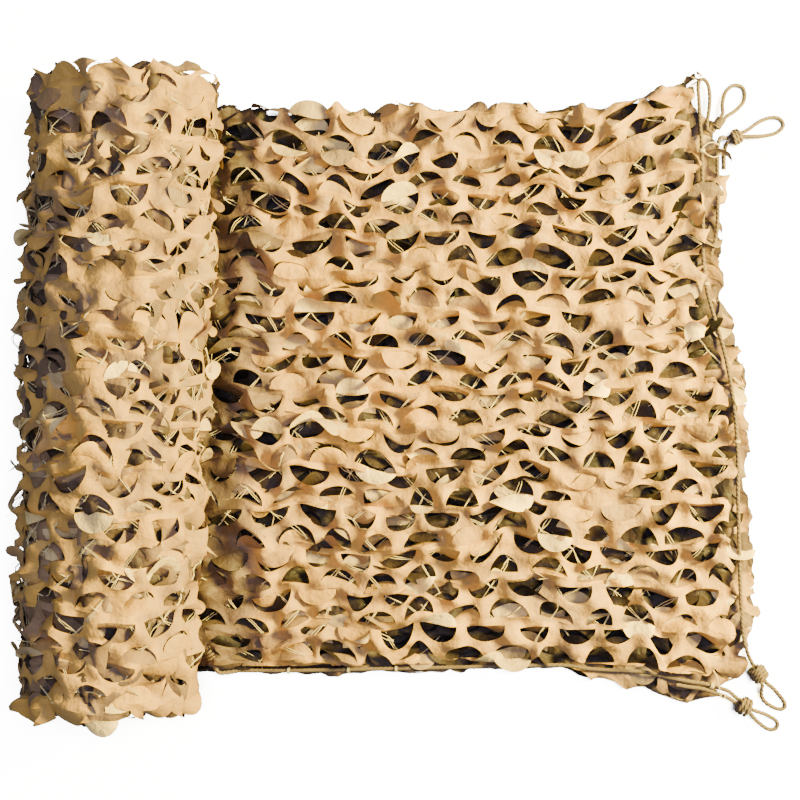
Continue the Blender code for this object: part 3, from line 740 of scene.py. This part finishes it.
def cloth(
    mesh, surface, s_span, t_span, inside, flaps, seed, relief, shade,
    first_arch=-1.0, row=ROW, cells=0, turned=False, mottle=0.06, snug=False, pale=0.0, zones=(),
):
    """Die-cut cloth over a surface. inside(s, t) is above zero on the cloth, and shade(s, t) is
    how light it is there. first_arch is the way along t that the first row's arches face. Cloth
    round a closed surface has a number of cells. Turned cloth shows its face on the surface's
    inner side. In each zone the flaps lie in another way. Snug flaps lie flat and fill their
    holes. pale is the share of flaps that show their paler side."""
    r = rng(seed)
    pitch = (s_span[1] - s_span[0]) / cells if cells else PITCH
    columns = cells or math.ceil((s_span[1] - s_span[0]) / PITCH) + 1
    rows = math.ceil((t_span[1] - t_span[0]) / row) + 1
    i, j = np.meshgrid(np.arange(columns), np.arange(rows), indexing="ij")
    i, j = i.ravel(), j.ravel()
    cs = s_span[0] + (i + 0.5 * (j % 2)) * pitch
    ct = t_span[0] + j * row
    many = len(cs)
    arch = np.where(j % 2 == 0, 1.0, -1.0) * first_arch  # the way along t that each faces
    wide, high = pitch / PITCH, row / ROW
    hole = hole_outline()
    n = len(hole)
    size = r.uniform(*HOLE_SIZES, (many, 1))
    tilt = r.uniform(-HOLE_TILT, HOLE_TILT, (many, 1))
    shift = r.uniform(-HOLE_SHIFT, HOLE_SHIFT, (many, 2))
    hx = hole[:, 0] * size * wide
    hy = hole[:, 1] * size * high
    gx = hx * np.cos(tilt) - hy * np.sin(tilt) + shift[:, :1]
    gy = hx * np.sin(tilt) + hy * np.cos(tilt) + shift[:, 1:]
    # Three rings of points round each hole: the cell's outline, one between, and the hole's.
    cell = cell_outline(pitch, row)
    share = np.array([0.0, 0.6, 1.0])[:, None]
    x = cell[:, 0] * (1 - share) + gx[:, None] * share
    y = cell[:, 1] * (1 - share) + gy[:, None] * share
    turn = np.arctan2(hole[:, 1], hole[:, 0])
    curl_way = r.uniform(0, 2 * math.pi, (many, 1))
    arch_lift = r.normal(*ARCH_LIFT, (many, 1)) * np.clip(np.sin(turn), 0, 1)
    bend = r.normal(0, RIM_BEND, (many, 1)) * np.cos(turn - curl_way) + arch_lift
    h = bend[:, None] * np.array([0.0, 0.5, 1.0])[:, None]

    def drifted(s, t):
        """Where a point of the even pattern lies. Round a closed surface the columns stay even."""
        along = 0.0 if cells else several(s, t, seed, DRIFT_ALONG)
        return s + along, t + several(s, t, seed, DRIFT_ACROSS)

    s, t = drifted(cs[:, None, None] + x, ct[:, None, None] + y * arch[:, None, None])
    inner = inside(s, t).ravel()
    s, t = drawn_in(inside, s, t)
    h = h + uneven(s, t, relief, seed)
    place, _, _, out = surface(s, t)
    points = place + out * h[..., None]
    _, quads = ring_quads(*s.shape)
    facing = arch[:, None, None, None] * (-1 if turned else 1)
    quads = np.where(facing > 0, quads[..., ::-1], quads).reshape(-1, 4)
    # Painted shade from shade(s, t), times each leaf's own tone.
    tones = (shade(s, t) * own_tones(r, mottle * 0.8, many)).ravel()
    hinge = points[:, 2][:, [0] + list(range(n - 1, ARC_STEPS - 1, -1))]
    hinge = hinge[:, :: SILL_STEPS // FLAP_COLUMNS]  # from the right corner to the left
    used, quads = np.unique(quads[inner[quads].max(1) > 0], return_inverse=True)
    points = points.reshape(-1, 3)[used]
    flat = np.stack([s, t], -1).reshape(-1, 2)[used]
    # Points of neighbouring cells at the same place become one.
    key = np.round(flat / 2e-6).astype(np.int64)
    inward = (used // n) % len(share) > 0
    key[inward, 0] = np.arange(inward.sum()) + 10**9
    _, first, same = np.unique(key, axis=0, return_index=True, return_inverse=True)
    quads = same.reshape(-1)[quads.reshape(-1, 4)]
    mesh.add(points[first], quads, flat[first], tones[used][first])

    # The flaps: each is the half-round that its cut freed, on its own hinge.
    ws, wt = drifted(cs, ct - arch * HOLE_SILL)
    _, _, run, out = surface(ws, wt)
    at_hinge, bending = flap_angles(r, flaps, zones, ws, wt)
    cup = r.normal(*FLAP_CUP, many)[:, None, None]
    twist = np.clip(r.normal(0, FLAP_TWIST, many), -MOST_TWIST, MOST_TWIST)[:, None, None]
    length = HOLE_HEIGHT * size[:, 0] * high * FLAP_SIZE
    points, x = flap_points(hinge, run, out, arch, length, at_hinge, bending, cup, twist)
    a = np.arange(x.size).reshape(x.shape)
    quads = np.stack([a[:, :-1, :-1], a[:, 1:, :-1], a[:, 1:, 1:], a[:, :-1, 1:]], -1)
    quads = np.where(facing > 0, quads[..., ::-1], quads)
    if snug:
        x = SNUG_WIDTH * HOLE_HALF_WIDTH * wide * size[:, :, None]
        x = x * FLAP_WIDTHS[:, None] * FLAP_ACROSS
        y = (HOLE_HEIGHT * SNUG_HEIGHT * FLAP_SHARES - HOLE_SILL - SNUG_LAP)[:, None]
        y = y * size[:, :, None] * high + 0 * x
        turn = tilt[:, :, None]
        s = x * np.cos(turn) - y * np.sin(turn) + (cs + shift[:, 0])[:, None, None]
        t = (x * np.sin(turn) + y * np.cos(turn) + shift[:, 1:, None]) * arch[:, None, None]
        s, t = drifted(s, t + ct[:, None, None])
        within = inside(s, t).ravel()
        s, t = drawn_in(inside, s, t)
        place, _, _, out = surface(s, t)
        points = place + out * (uneven(s, t, relief, seed) - SNUG_DEPTH)[..., None]
        tones = shade(s, t)
        quads = quads.reshape(-1, 4)
        quads = quads[within[quads].max(1) > 0]
    else:
        s = ws[:, None, None] + x
        t = wt[:, None, None] + (arch[:, None] * FLAP_SHARES * FLAP_RUN)[..., None] + 0 * x
        tones = shade(ws, wt)[:, None, None] + 0 * x
        quads = quads[inside(ws, wt) > FLAP_INSIDE].reshape(-1, 4)
    over = np.abs(at_hinge) > math.pi / 2
    # The flaps carry the painted shade of where they lie, times their own tone.
    tones = tones * own_tones(r, mottle, many)
    if pale:
        shown = r.random(many) < pale
        tones = np.where(shown[:, None, None], r.uniform(*PALE_TONES, (many, 1, 1)), tones)
        over = over | shown
    over = np.repeat(over, x[0].size)
    used, quads = np.unique(quads, return_inverse=True)
    points = points.reshape(-1, 3)[used]
    flat = np.stack([s, t], -1).reshape(-1, 2)[used]
    mesh.add(points, quads.reshape(-1, 4), flat, tones.ravel()[used], over[used])


def string_mesh(mesh, surface, s_span, t_span, inside, seed, depth, relief, cloth_seed, pitch):
    """The knotted string net that the cloth is laced to. Each of its bars is a pair of strings."""
    r = rng(seed)
    c, q = math.cos(STRING_TURN), math.sin(STRING_TURN)
    reach = math.hypot(s_span[1] - s_span[0], t_span[1] - t_span[0]) / pitch
    n = math.ceil(reach) + 2
    u, v = np.meshgrid(np.arange(n) - n / 2, np.arange(n) - n / 2, indexing="ij")
    s = sum(s_span) / 2 + (u * c - v * q) * pitch
    s = s + r.uniform(-STRING_JITTER, STRING_JITTER, u.shape)
    t = sum(t_span) / 2 + (u * q + v * c) * pitch
    t = t + r.uniform(-STRING_JITTER, STRING_JITTER, u.shape)
    h = depth + r.uniform(*STRING_HEIGHTS, u.shape)
    index = np.arange(n * n).reshape(n, n)
    one_way = np.stack([index[:-1].ravel(), index[1:].ravel()], 1)
    other_way = np.stack([index[:, :-1].ravel(), index[:, 1:].ravel()], 1)
    pairs = np.concatenate([one_way, other_way])
    s, t, h = s.ravel(), t.ravel(), h.ravel()
    within = (s > s_span[0]) & (s < s_span[1]) & (t > t_span[0]) & (t < t_span[1])
    within &= inside(s, t) > 0.004
    pairs = pairs[within[pairs].all(1)]
    pairs = pairs[r.random(len(pairs)) < BARS_KEPT]
    many = len(pairs)
    a, b = pairs[:, 0], pairs[:, 1]
    share = np.linspace(0, 1, 7)
    line_s, line_t, line_h = (w[a, None] * (1 - share) + w[b, None] * share for w in (s, t, h))
    arc = np.sin(math.pi * share)
    ds, dt = s[b] - s[a], t[b] - t[a]
    length = np.hypot(ds, dt)
    spread = r.uniform(*STRING_SPREADS, (many, 1)) * np.minimum(1.0, 2.2 * arc)
    bow = r.normal(0, STRING_BOW, (many, 1)) * arc
    sag = r.uniform(*STRING_SAGS, (many, 1)) * arc
    phase = r.uniform(0, 2 * math.pi, (many, 1))
    for way in (1.0, -1.0):
        off = bow + way * spread * np.cos(phase + 1.6 * share)
        ls = line_s - (dt / length)[:, None] * off
        lt = line_t + (ds / length)[:, None] * off
        lh = line_h + sag + way * spread * np.sin(phase + 1.6 * share) * 0.5
        lh = lh + uneven(ls, lt, relief, cloth_seed)
        place, _, _, out = surface(ls, lt)
        lines = place + out * lh[..., None]
        tubes(mesh, lines, STRING_RADIUS, 4, out, r.uniform(0.80, 1.05, many))
    # The knots, and a short cut end at some of them.
    s, t, h = s[within], t[within], h[within]
    place, side, run, out = surface(s, t)
    place = place + out * (h + uneven(s, t, relief, cloth_seed))[:, None]
    way = r.uniform(0, 2 * math.pi, (len(s), 1))
    aside = side * np.cos(way) + run * np.sin(way)
    knot = np.linspace(-STRING_KNOT, STRING_KNOT, 4)[None, :, None]
    lines = place[:, None] + aside[:, None] * knot
    tubes(mesh, lines, STRING_KNOT, 6, out[:, None] + 0 * lines, 0.95, caps=True)
    cut = r.random(len(s)) < CUT_ENDS
    place, aside, out = place[cut][:, None], aside[cut][:, None], out[cut][:, None]
    length = r.uniform(*CUT_END_LENGTHS, (len(place), 1, 1))
    share = np.linspace(0, 1, 5)[None, :, None]
    ends = place + aside * share * length
    ends = ends + out * (share**2) * length * r.uniform(-0.4, 0.7, length.shape)
    tubes(mesh, ends, CUT_END_RADIUS, 4, out + 0 * ends, 1.0)


# Materials


def new_material(name):
    made = bpy.data.materials.new(name)
    made.use_nodes = True
    return made, made.node_tree, made.node_tree.nodes["Principled BSDF"]


def put(socket, value):
    """A value into a socket, or a link from another socket."""
    if isinstance(value, bpy.types.NodeSocket):
        socket.id_data.links.new(value, socket)
    else:
        socket.default_value = value


def node(tree, kind, *values, **named):
    """A shader node with its first inputs at the values, and its named inputs or settings at
    theirs."""
    made = tree.nodes.new("ShaderNode" + kind)
    for key, value in named.items():
        if key in made.inputs:
            put(made.inputs[key], value)
        else:
            setattr(made, key, value)
    for socket, value in zip(made.inputs, values):
        put(socket, value)
    return made


def attribute(tree, name):
    return node(tree, "Attribute", attribute_name=name).outputs["Fac"]


def mixed(tree, share, a, b):
    """A colour mix. share, a and b are sockets or values."""
    made = node(tree, "Mix", share, data_type="RGBA")
    put(made.inputs[6], a)
    put(made.inputs[7], b)
    return made.outputs[2]


def ramp(tree, *source_and_ranges):
    """A value's range, stretched to another range and kept in it."""
    return node(tree, "MapRange", *source_and_ranges).outputs[0]


def cloth_material(name, face, back, shade, dull_and_shade_colour):
    """Coated woven cloth, with a tone on each leaf that holds its own variation and painted shade,
    soft creases and a paler underside.
    """
    made, tree, shader = new_material(name)
    uv = node(tree, "TexCoord").outputs["UV"]
    spots = node(tree, "TexNoise", Vector=uv, Scale=9.0, Detail=4.0, Roughness=0.6)
    fine = node(tree, "TexNoise", Vector=uv, Scale=70.0, Detail=3.0, Roughness=0.6)
    creases = node(tree, "TexNoise", Vector=uv, Scale=46.0, Detail=5.0, Roughness=0.55)
    threads = node(tree, "TexNoise", Vector=uv, Scale=1500.0, Detail=1.0)
    warp, weft = (
        node(tree, "TexWave", Vector=uv, Scale=420.0, Distortion=0.6, bands_direction=way)
        for way in "XY"
    )
    tone, under = attribute(tree, "tone"), attribute(tree, "under")
    behind = node(tree, "NewGeometry").outputs["Backfacing"]
    turned = node(tree, "Math", behind, under, operation="MAXIMUM").outputs[0]
    colour = mixed(tree, turned, face, back)
    colour = mixed(tree, ramp(tree, spots.outputs[0], 0.3, 0.7, 0.0, 0.35), colour, shade)
    # Leaves of a middle tone, most of them in painted shade, take a greyer colour. The lightest and
    # darkest have the cloth's own colour.
    strength = node(tree, "ValToRGB", tone)
    stops = strength.color_ramp.elements
    for position in (0.05, 0.36, 0.80):
        stops.new(position)
    for stop, value in zip(stops, (1.0, 0.18, 0.24, 0.72, 1.0)):
        stop.color = (value, value, value, 1.0)
    colour = mixed(tree, strength.outputs[0], dull_and_shade_colour, colour)
    worn = ramp(tree, fine.outputs[0], 0.25, 0.75, 0.90, 1.08)
    tone = node(tree, "Math", tone, worn, operation="MULTIPLY").outputs[0]
    # The tone darkens the colour: each leaf's own tone, and painted shade on the lower layers,
    # beside the roll and on the roll's inner turns.
    toned = node(tree, "HueSaturation", Color=colour, Value=tone)
    put(shader.inputs["Base Color"], toned.outputs[0])
    weave = mixed(tree, 0.5, warp.outputs["Color"], weft.outputs["Color"])
    weave = mixed(tree, 0.3, weave, threads.outputs["Color"])
    woven = node(tree, "Bump", Strength=0.20, Distance=0.0002, Height=weave)
    creased = node(tree, "Bump", Strength=0.8, Distance=0.007)
    put(creased.inputs["Height"], creases.outputs[0])
    put(creased.inputs["Normal"], woven.outputs[0])
    put(shader.inputs["Normal"], creased.outputs[0])
    shader.inputs["Roughness"].default_value = 0.56
    shader.inputs["Specular IOR Level"].default_value = 0.26
    shader.inputs["Sheen Weight"].default_value = 0.02
    return made


def cord_material(name, light, dark, scale):
    """Spun cord: fine yarn lines wound along it, and a mottled tone."""
    made, tree, shader = new_material(name)
    uv = node(tree, "TexCoord").outputs["UV"]
    yarn = node(tree, "TexWave", Vector=uv, Scale=scale, Distortion=1.2)
    yarn.bands_direction = "DIAGONAL"
    yarn = yarn.outputs["Fac"]
    spots = node(tree, "TexNoise", Vector=uv, Scale=180.0, Detail=3.0).outputs[0]
    colour = mixed(tree, ramp(tree, yarn, 0.1, 0.9, 0.0, 0.7), dark, light)
    colour = mixed(tree, ramp(tree, spots, 0.35, 0.7, 0.0, 0.45), colour, dark)
    toned = node(tree, "HueSaturation", Color=colour, Value=attribute(tree, "tone"))
    put(shader.inputs["Base Color"], toned.outputs[0])
    bump = node(tree, "Bump", Strength=0.5, Distance=0.0004, Height=yarn)
    put(shader.inputs["Normal"], bump.outputs[0])
    shader.inputs["Roughness"].default_value = 0.75
    shader.inputs["Specular IOR Level"].default_value = 0.30
    return made


def floor_material():
    """White to the eye, and duller to the light that it throws back at the netting."""
    made, tree, shader = new_material("floor")
    seen = node(tree, "LightPath").outputs["Is Camera Ray"]
    spots = node(tree, "TexNoise", Scale=3.0)
    pale = mixed(tree, spots.outputs[0], (0.93, 0.93, 0.935, 1.0), (0.95, 0.95, 0.95, 1.0))
    put(shader.inputs["Base Color"], mixed(tree, seen, (0.02, 0.02, 0.02, 1.0), pale))
    shader.inputs["Roughness"].default_value = 1.0
    shader.inputs["Specular IOR Level"].default_value = 0.0
    return made


# The pieces


def dress(piece, slot, *nodes):
    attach(piece, "root")
    if nodes:
        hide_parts(*nodes)
    return piece


def rope_piece(name, line, material, node_name):
    mesh = Mesh()
    twisted(mesh, line)
    return dress(mesh.make(name, material), "border_rope", node_name)


def free_cord(piece, line):
    length = float(along_lines(line)[-1])


def make_ropes(rope_cord):
    """The corner loops and the border ropes. Returns the border ropes' lines."""
    for name in LOOPS:
        line = smooth_route(loop_route(name), ROPE_STEP)
        free_cord(rope_piece(name + "_rope", line, rope_cord, name), line)
    lines = {}
    for name, ends_and_route in ROPES.items():
        lines[name] = smooth_route(tied(*ends_and_route), ROPE_STEP)
        piece = rope_piece(name + "_strands", lines[name], rope_cord, name)
        if name == "rope_tail":
            free_cord(piece, lines[name])
    return lines


def make_knots(rope_cord):
    """Knots: turns of the same rope over the strands that pass through."""
    for name, (_, _, _, _, length, radius, turns) in KNOTS.items():
        thick = radius > THICK_KNOT
        turn_radius = ROPE_RADIUS if thick else THIN_TURN
        reach = radius - turn_radius
        body = length - 2 * turn_radius
        inner = max(0.0022, reach - 1.8 * turn_radius)
        mesh = Mesh()
        for line in (
            coil_line(name, reach, body, turns + 0.35, 0.6),
            coil_line(name, reach * 0.93, body, 0.85, 2.4, wobble=0.1),
            coil_line(name, inner, length * 0.96, turns, 2.0),
        ):
            twisted(mesh, line, turn_radius)
        for sideways in (-STRAND, STRAND) if thick else (0.0,):
            near, away = knot_end(name, -1, sideways)
            twisted(mesh, smooth_route([near, near - away * length], ROPE_STEP))
        dress(mesh.make(name + "_turns", rope_cord), "border_rope", name)


def make_lashings(ropes, string_cord):
    """Lashings: turns of string round the border ropes."""
    for number, (rope, at, axis, turns) in enumerate(LASHINGS, 1):
        line = ropes[rope]
        k = int(np.argmax((line[1:, axis] - at) * (line[:-1, axis] - at) <= 0))
        along = unit(line[k + 1] - line[k - 1])
        across = unit(np.cross(along, [0.0, 0.0, 1.0]))
        rise = np.cross(across, along)
        t = np.linspace(0, 1, turns * 20)
        turn = 2 * math.pi * turns * t
        coil = (
            line[k]
            + along * ((t - 0.5) * LASHING_PITCH * turns)[:, None]
            + across * (np.cos(turn) * LASHING_REACH)[:, None]
            + rise * (np.sin(turn) * LASHING_REACH)[:, None]
        )
        mesh = Mesh()
        tubes(mesh, coil[None], LASHING_CORD, 6, along, 1.0, caps=True)
        if number in TIES:
            end = smooth_route(TIES[number], 0.003)
            tubes(mesh, end[None], LASHING_CORD, 6, [0.2, 0.3, 0.93], 1.0, caps=True)
        node_name = f"rope_lashing_{number}"
        dress(mesh.make(node_name + "_cord", string_cord), "lashing_cord", node_name)


# The loose end


def on_flat(s, t):
    """How far inside the loose end's ragged outline a point lies."""
    y, z, level = section(t, s)
    right = between(END_EDGE, y, 1) - setback(y) * np.maximum(0, level - 1)
    for reach, size, seed in END_RAG:
        right = right + reach * waves(y, level * 0.3, size, seed)
    left = flank(y, z) + 0.001
    short = 0.003 + several(s, level, 0, LONG_RAG)
    return np.minimum.reduce([s - left, right - s, t + short, CLOTH_RUN + short - t])


def on_layer(low, high):
    return lambda s, t: np.minimum.reduce([on_flat(s, t), t - low, high - t])


def puffed(relief):
    """The cloth lies loosest towards the roll."""
    return lambda s, t: relief * (1.0 + 0.4 * np.clip((0.10 - s) / 0.30, 0.0, 1.0))


def top_end(y):
    """Where the top layer ends."""
    return between(END_EDGE, y, 1) - setback(y)


def sheet_shade(s, t):
    """Painted shade: the lower layers are darker, except where they stand out from under the top
    one, and all of them are darker beside the roll, as the roll's shadow."""
    y, z, level = section(t, s)
    past_edge = np.maximum(s - top_end(y), between(LONG_EDGES, s, 3) - y)
    out = np.clip((past_edge + EDGE_FADE[0]) / EDGE_FADE[1], 0, 1)
    out = out * np.where(level < 0.5, *OUT_TONES)
    dull = np.clip(2.0 - level, 0, 1) * (1.0 - out)
    # Painted shadow of the roll on the cloth beside it, with a wavy edge.
    reach, size, seed = ROLL_SHADOW_WAVES
    clear = s - flank(y, z) - ROLL_SHADOW_FADE[0] + reach * waves(s, y, size, seed)
    roll_shadow = 1.0 - np.clip(clear / ROLL_SHADOW_FADE[1], 0.0, 1.0)
    return np.where(level < 0.5, *LAYER_SHADE_TONES) ** dull * ROLL_SHADOW_TONE**roll_shadow


def near_edge(s, t):
    """Near the loose end's edges, and here and there towards the roll."""
    y, _, _ = section(t, s)
    rim = np.maximum(y - between(LONG_EDGES, s, 1) + 0.03, between(LONG_EDGES, s, 2) - y) + 0.035
    loose = 0.24 * waves(s, t, 0.030, 93) - 0.03 - s
    return np.maximum.reduce([s - top_end(y) + 0.010, rim, loose]) > 0


def make_sheet(net_cloth, string_cord):
    """The loose end: its three layers from the lowest up, and the upper two's string mesh."""
    sheet = Mesh()
    for low, high, flaps, edge_flaps, relief, mottle, pale, turned, snug in LAYERS:
        cloth(
            sheet, flat_surface, SHEET_SPAN, (FIRST_ROW, CLOTH_RUN + ROW), on_layer(low, high),
            flaps, SHEET_SEED, puffed(relief), sheet_shade, turned=turned, mottle=mottle,
            snug=snug, pale=pale, zones=((near_edge, edge_flaps),),
        )
    net_sheet = dress(sheet.make("net_sheet_cloth", net_cloth), "net_cloth", "net_sheet")
    strings = Mesh()
    for seed, low, high, depth, pitch in LAYER_STRINGS:
        string_mesh(
            strings, flat_surface, SHEET_SPAN, (low, high), on_flat, seed, depth,
            puffed(SHEET_PUFF), SHEET_SEED, pitch,
        )
    sheet_strings = dress(strings.make("net_sheet_strings", string_cord), "lashing_cord")


# The roll


def roll_inside(low, high, seed):
    """Between two ragged ends."""

    def inside(s, t):
        angle = s / MEAN_RADIUS
        reach, size = END_RAG_ROLL
        rag = reach * waves(np.cos(angle) * 0.1, np.sin(angle) * 0.1, size, seed)
        return np.minimum(t - low - rag, high + rag - t)

    return inside


def roll_shade(dull):
    """Painted shade: dull times the cloth's tone, with more painted shade towards the side that the
    key light strikes.
    """

    def shade(s, t):
        lit = np.clip(np.sin(s / MEAN_RADIUS), 0.0, 1.0)
        return dull * (1.0 - 0.30 * lit**1.5)

    return shade


def evenly(relief):
    return lambda s, t: relief + 0 * s


def on_flank(s, t):
    way = np.sin(s / MEAN_RADIUS)
    return (way < SIDES[0]) | (way > SIDES[1])


def at_end(s, t):
    return np.minimum(t - ROLL_ENDS[0], ROLL_ENDS[1] - t) < END_ZONE


def outer_turns(roll):
    low, high = ROLL_ENDS
    for inset, aside, seed, flaps, flank_flaps, dull, mottle, pale, snug in OUTER_TURNS:
        cloth(
            roll, roll_surface(inset), (aside, AROUND + aside),
            (low - OVERRUN - aside / 3, high + OVERRUN),
            roll_inside(low + inset * 0.25, high - inset * 0.25, seed), flaps, seed,
            evenly(ROLL_PUFF), roll_shade(dull), first_arch=1.0, row=ROLL_ROW, cells=ROLL_CELLS,
            mottle=mottle, pale=pale, snug=snug,
            zones=((on_flank, flank_flaps), (at_end, FLAPS_END)),
        )


def end_turns(roll):
    """The turns further in, as far as they show at the roll's ends."""
    for k in range(1, END_TURNS + 1):
        radius = END_TURN_RADIUS - END_TURN_PITCH * k
        for end, way, more in ((ROLL_ENDS[0], 1.0, 0), (ROLL_ENDS[1], -1.0, 20)):
            edge = end + way * (0.004 * k % 0.011)
            low, high = sorted((edge, edge + way * END_TURN_WIDTH))
            # These turns get painted shade: 0.7 of the cloth's tone.
            cloth(
                roll, roll_surface(0.0, radius), (0.0, AROUND), (low - 0.01, high + 0.02),
                roll_inside(low, high, 80 + k), FLAPS_MIDDLE, 90 + k + more, evenly(0.6),
                roll_shade(0.7), first_arch=1.0, cells=max(3, round(2 * math.pi * radius / PITCH)),
            )


def painted_shade_core(roll):
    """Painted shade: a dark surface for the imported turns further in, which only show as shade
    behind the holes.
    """
    turns = np.linspace(0, 2 * math.pi, 41)[:-1]
    stations = np.linspace(ROLL_ENDS[0] + 0.05, ROLL_ENDS[1] - 0.05, 12)
    s, t = np.meshgrid(turns * MEAN_RADIUS, stations, indexing="ij")
    a = np.arange(s.size).reshape(s.shape)
    b = np.roll(a, -1, axis=0)
    quads = np.stack([a[:, :-1], a[:, 1:], b[:, 1:], b[:, :-1]], -1).reshape(-1, 4)
    roll.add(roll_surface(CORE_INSET)(s, t)[0], quads, np.stack([s, t], -1), CORE_SHADE_TONE)


def make_roll(net_cloth, string_cord):
    """The roll: its turns, its core of painted shade, and the string mesh of the outer two turns."""
    roll = Mesh()
    outer_turns(roll)
    end_turns(roll)
    painted_shade_core(roll)
    net_roll = dress(roll.make("net_roll_cloth", net_cloth), "net_roll_cloth", "net_roll")
    strings = Mesh()
    low, high = ROLL_ENDS
    for seed, (inset, _, cloth_seed, *_) in zip((33, 34), OUTER_TURNS):
        string_mesh(
            strings, roll_surface(inset), (0.0, AROUND), ROLL_ENDS,
            roll_inside(low + 0.01, high - 0.01, seed), seed, -0.0030, evenly(ROLL_PUFF),
            cloth_seed, STRING_PITCH,
        )
    roll_strings = dress(strings.make("net_roll_strings", string_cord), "lashing_cord")


# The camera and the stage


def make_camera():
    data = bpy.data.cameras.new("camera")
    data.lens = CAMERA_LENS
    data.sensor_width = 36.0
    camera = placed("camera", data)
    camera.location = CAMERA_AT
    bpy.context.scene.camera = camera


def area_light(name, at, size, watts, colour=(1.0, 1.0, 1.0)):
    """A round light that faces the origin."""
    data = bpy.data.lights.new(name, "AREA")
    data.shape = "DISK"
    data.size = size
    data.energy = watts
    data.color = colour
    made = placed(name, data)
    made.location = at
    made.rotation_euler = Vector(at).to_track_quat("Z", "Y").to_euler()
    return made


def make_stage():
    """A white floor and sky, a warm key light from the right, a fill light from above, and a
    light on the floor alone."""
    bpy.ops.mesh.primitive_plane_add(size=40.0, location=(0.0, 0.0, 0.0))
    floor = bpy.context.object
    floor.name = "floor"
    floor.data.materials.append(floor_material())
    area_light("key", (2.08, 0.50, 1.19), 0.75, 508.0, (0.985, 0.764, 0.19))
    area_light("fill", (0.3, 0.3, 3.0), 2.4, 47.0, (0.91, 0.93, 1.44))
    wash = area_light("floor_wash", (0.55, 0.35, 3.3), 1.5, 50.0)
    wash.data.type = "SUN"
    wash.data.angle = math.radians(26)
    lit = bpy.data.collections.new("floor_only")
    lit.objects.link(floor)
    wash.light_linking.receiver_collection = lit
    world = bpy.data.worlds.new("world")
    bpy.context.scene.world = world
    world.use_nodes = True
    sky = world.node_tree
    seen = node(sky, "LightPath").outputs["Is Camera Ray"]
    colour = mixed(sky, seen, (0.160, 0.165, 0.19, 1.0), (12.0, 12.0, 12.0, 1.0))
    put(sky.nodes["Background"].inputs[0], colour)


def main():
    make_camera()
    rope_cord = cord_material(
        "rope_cord", (0.31, 0.235, 0.125, 1.0), (0.13, 0.094, 0.052, 1.0), 260.0
    )
    string_cord = cord_material(
        "string_cord", (1.0, 0.87, 0.45, 1.0), (0.74, 0.61, 0.30, 1.0), 700.0
    )
    net_cloth = cloth_material(
        "net_cloth_finish",
        face=(0.590, 0.338, 0.058, 1.0),
        back=(0.950, 0.745, 0.290, 1.0),
        shade=(0.400, 0.262, 0.130, 1.0),
        dull_and_shade_colour=(0.540, 0.362, 0.235, 1.0),
    )
    ropes = make_ropes(rope_cord)
    make_knots(rope_cord)
    make_lashings(ropes, string_cord)
    make_sheet(net_cloth, string_cord)
    make_roll(net_cloth, string_cord)
    make_stage()


main()
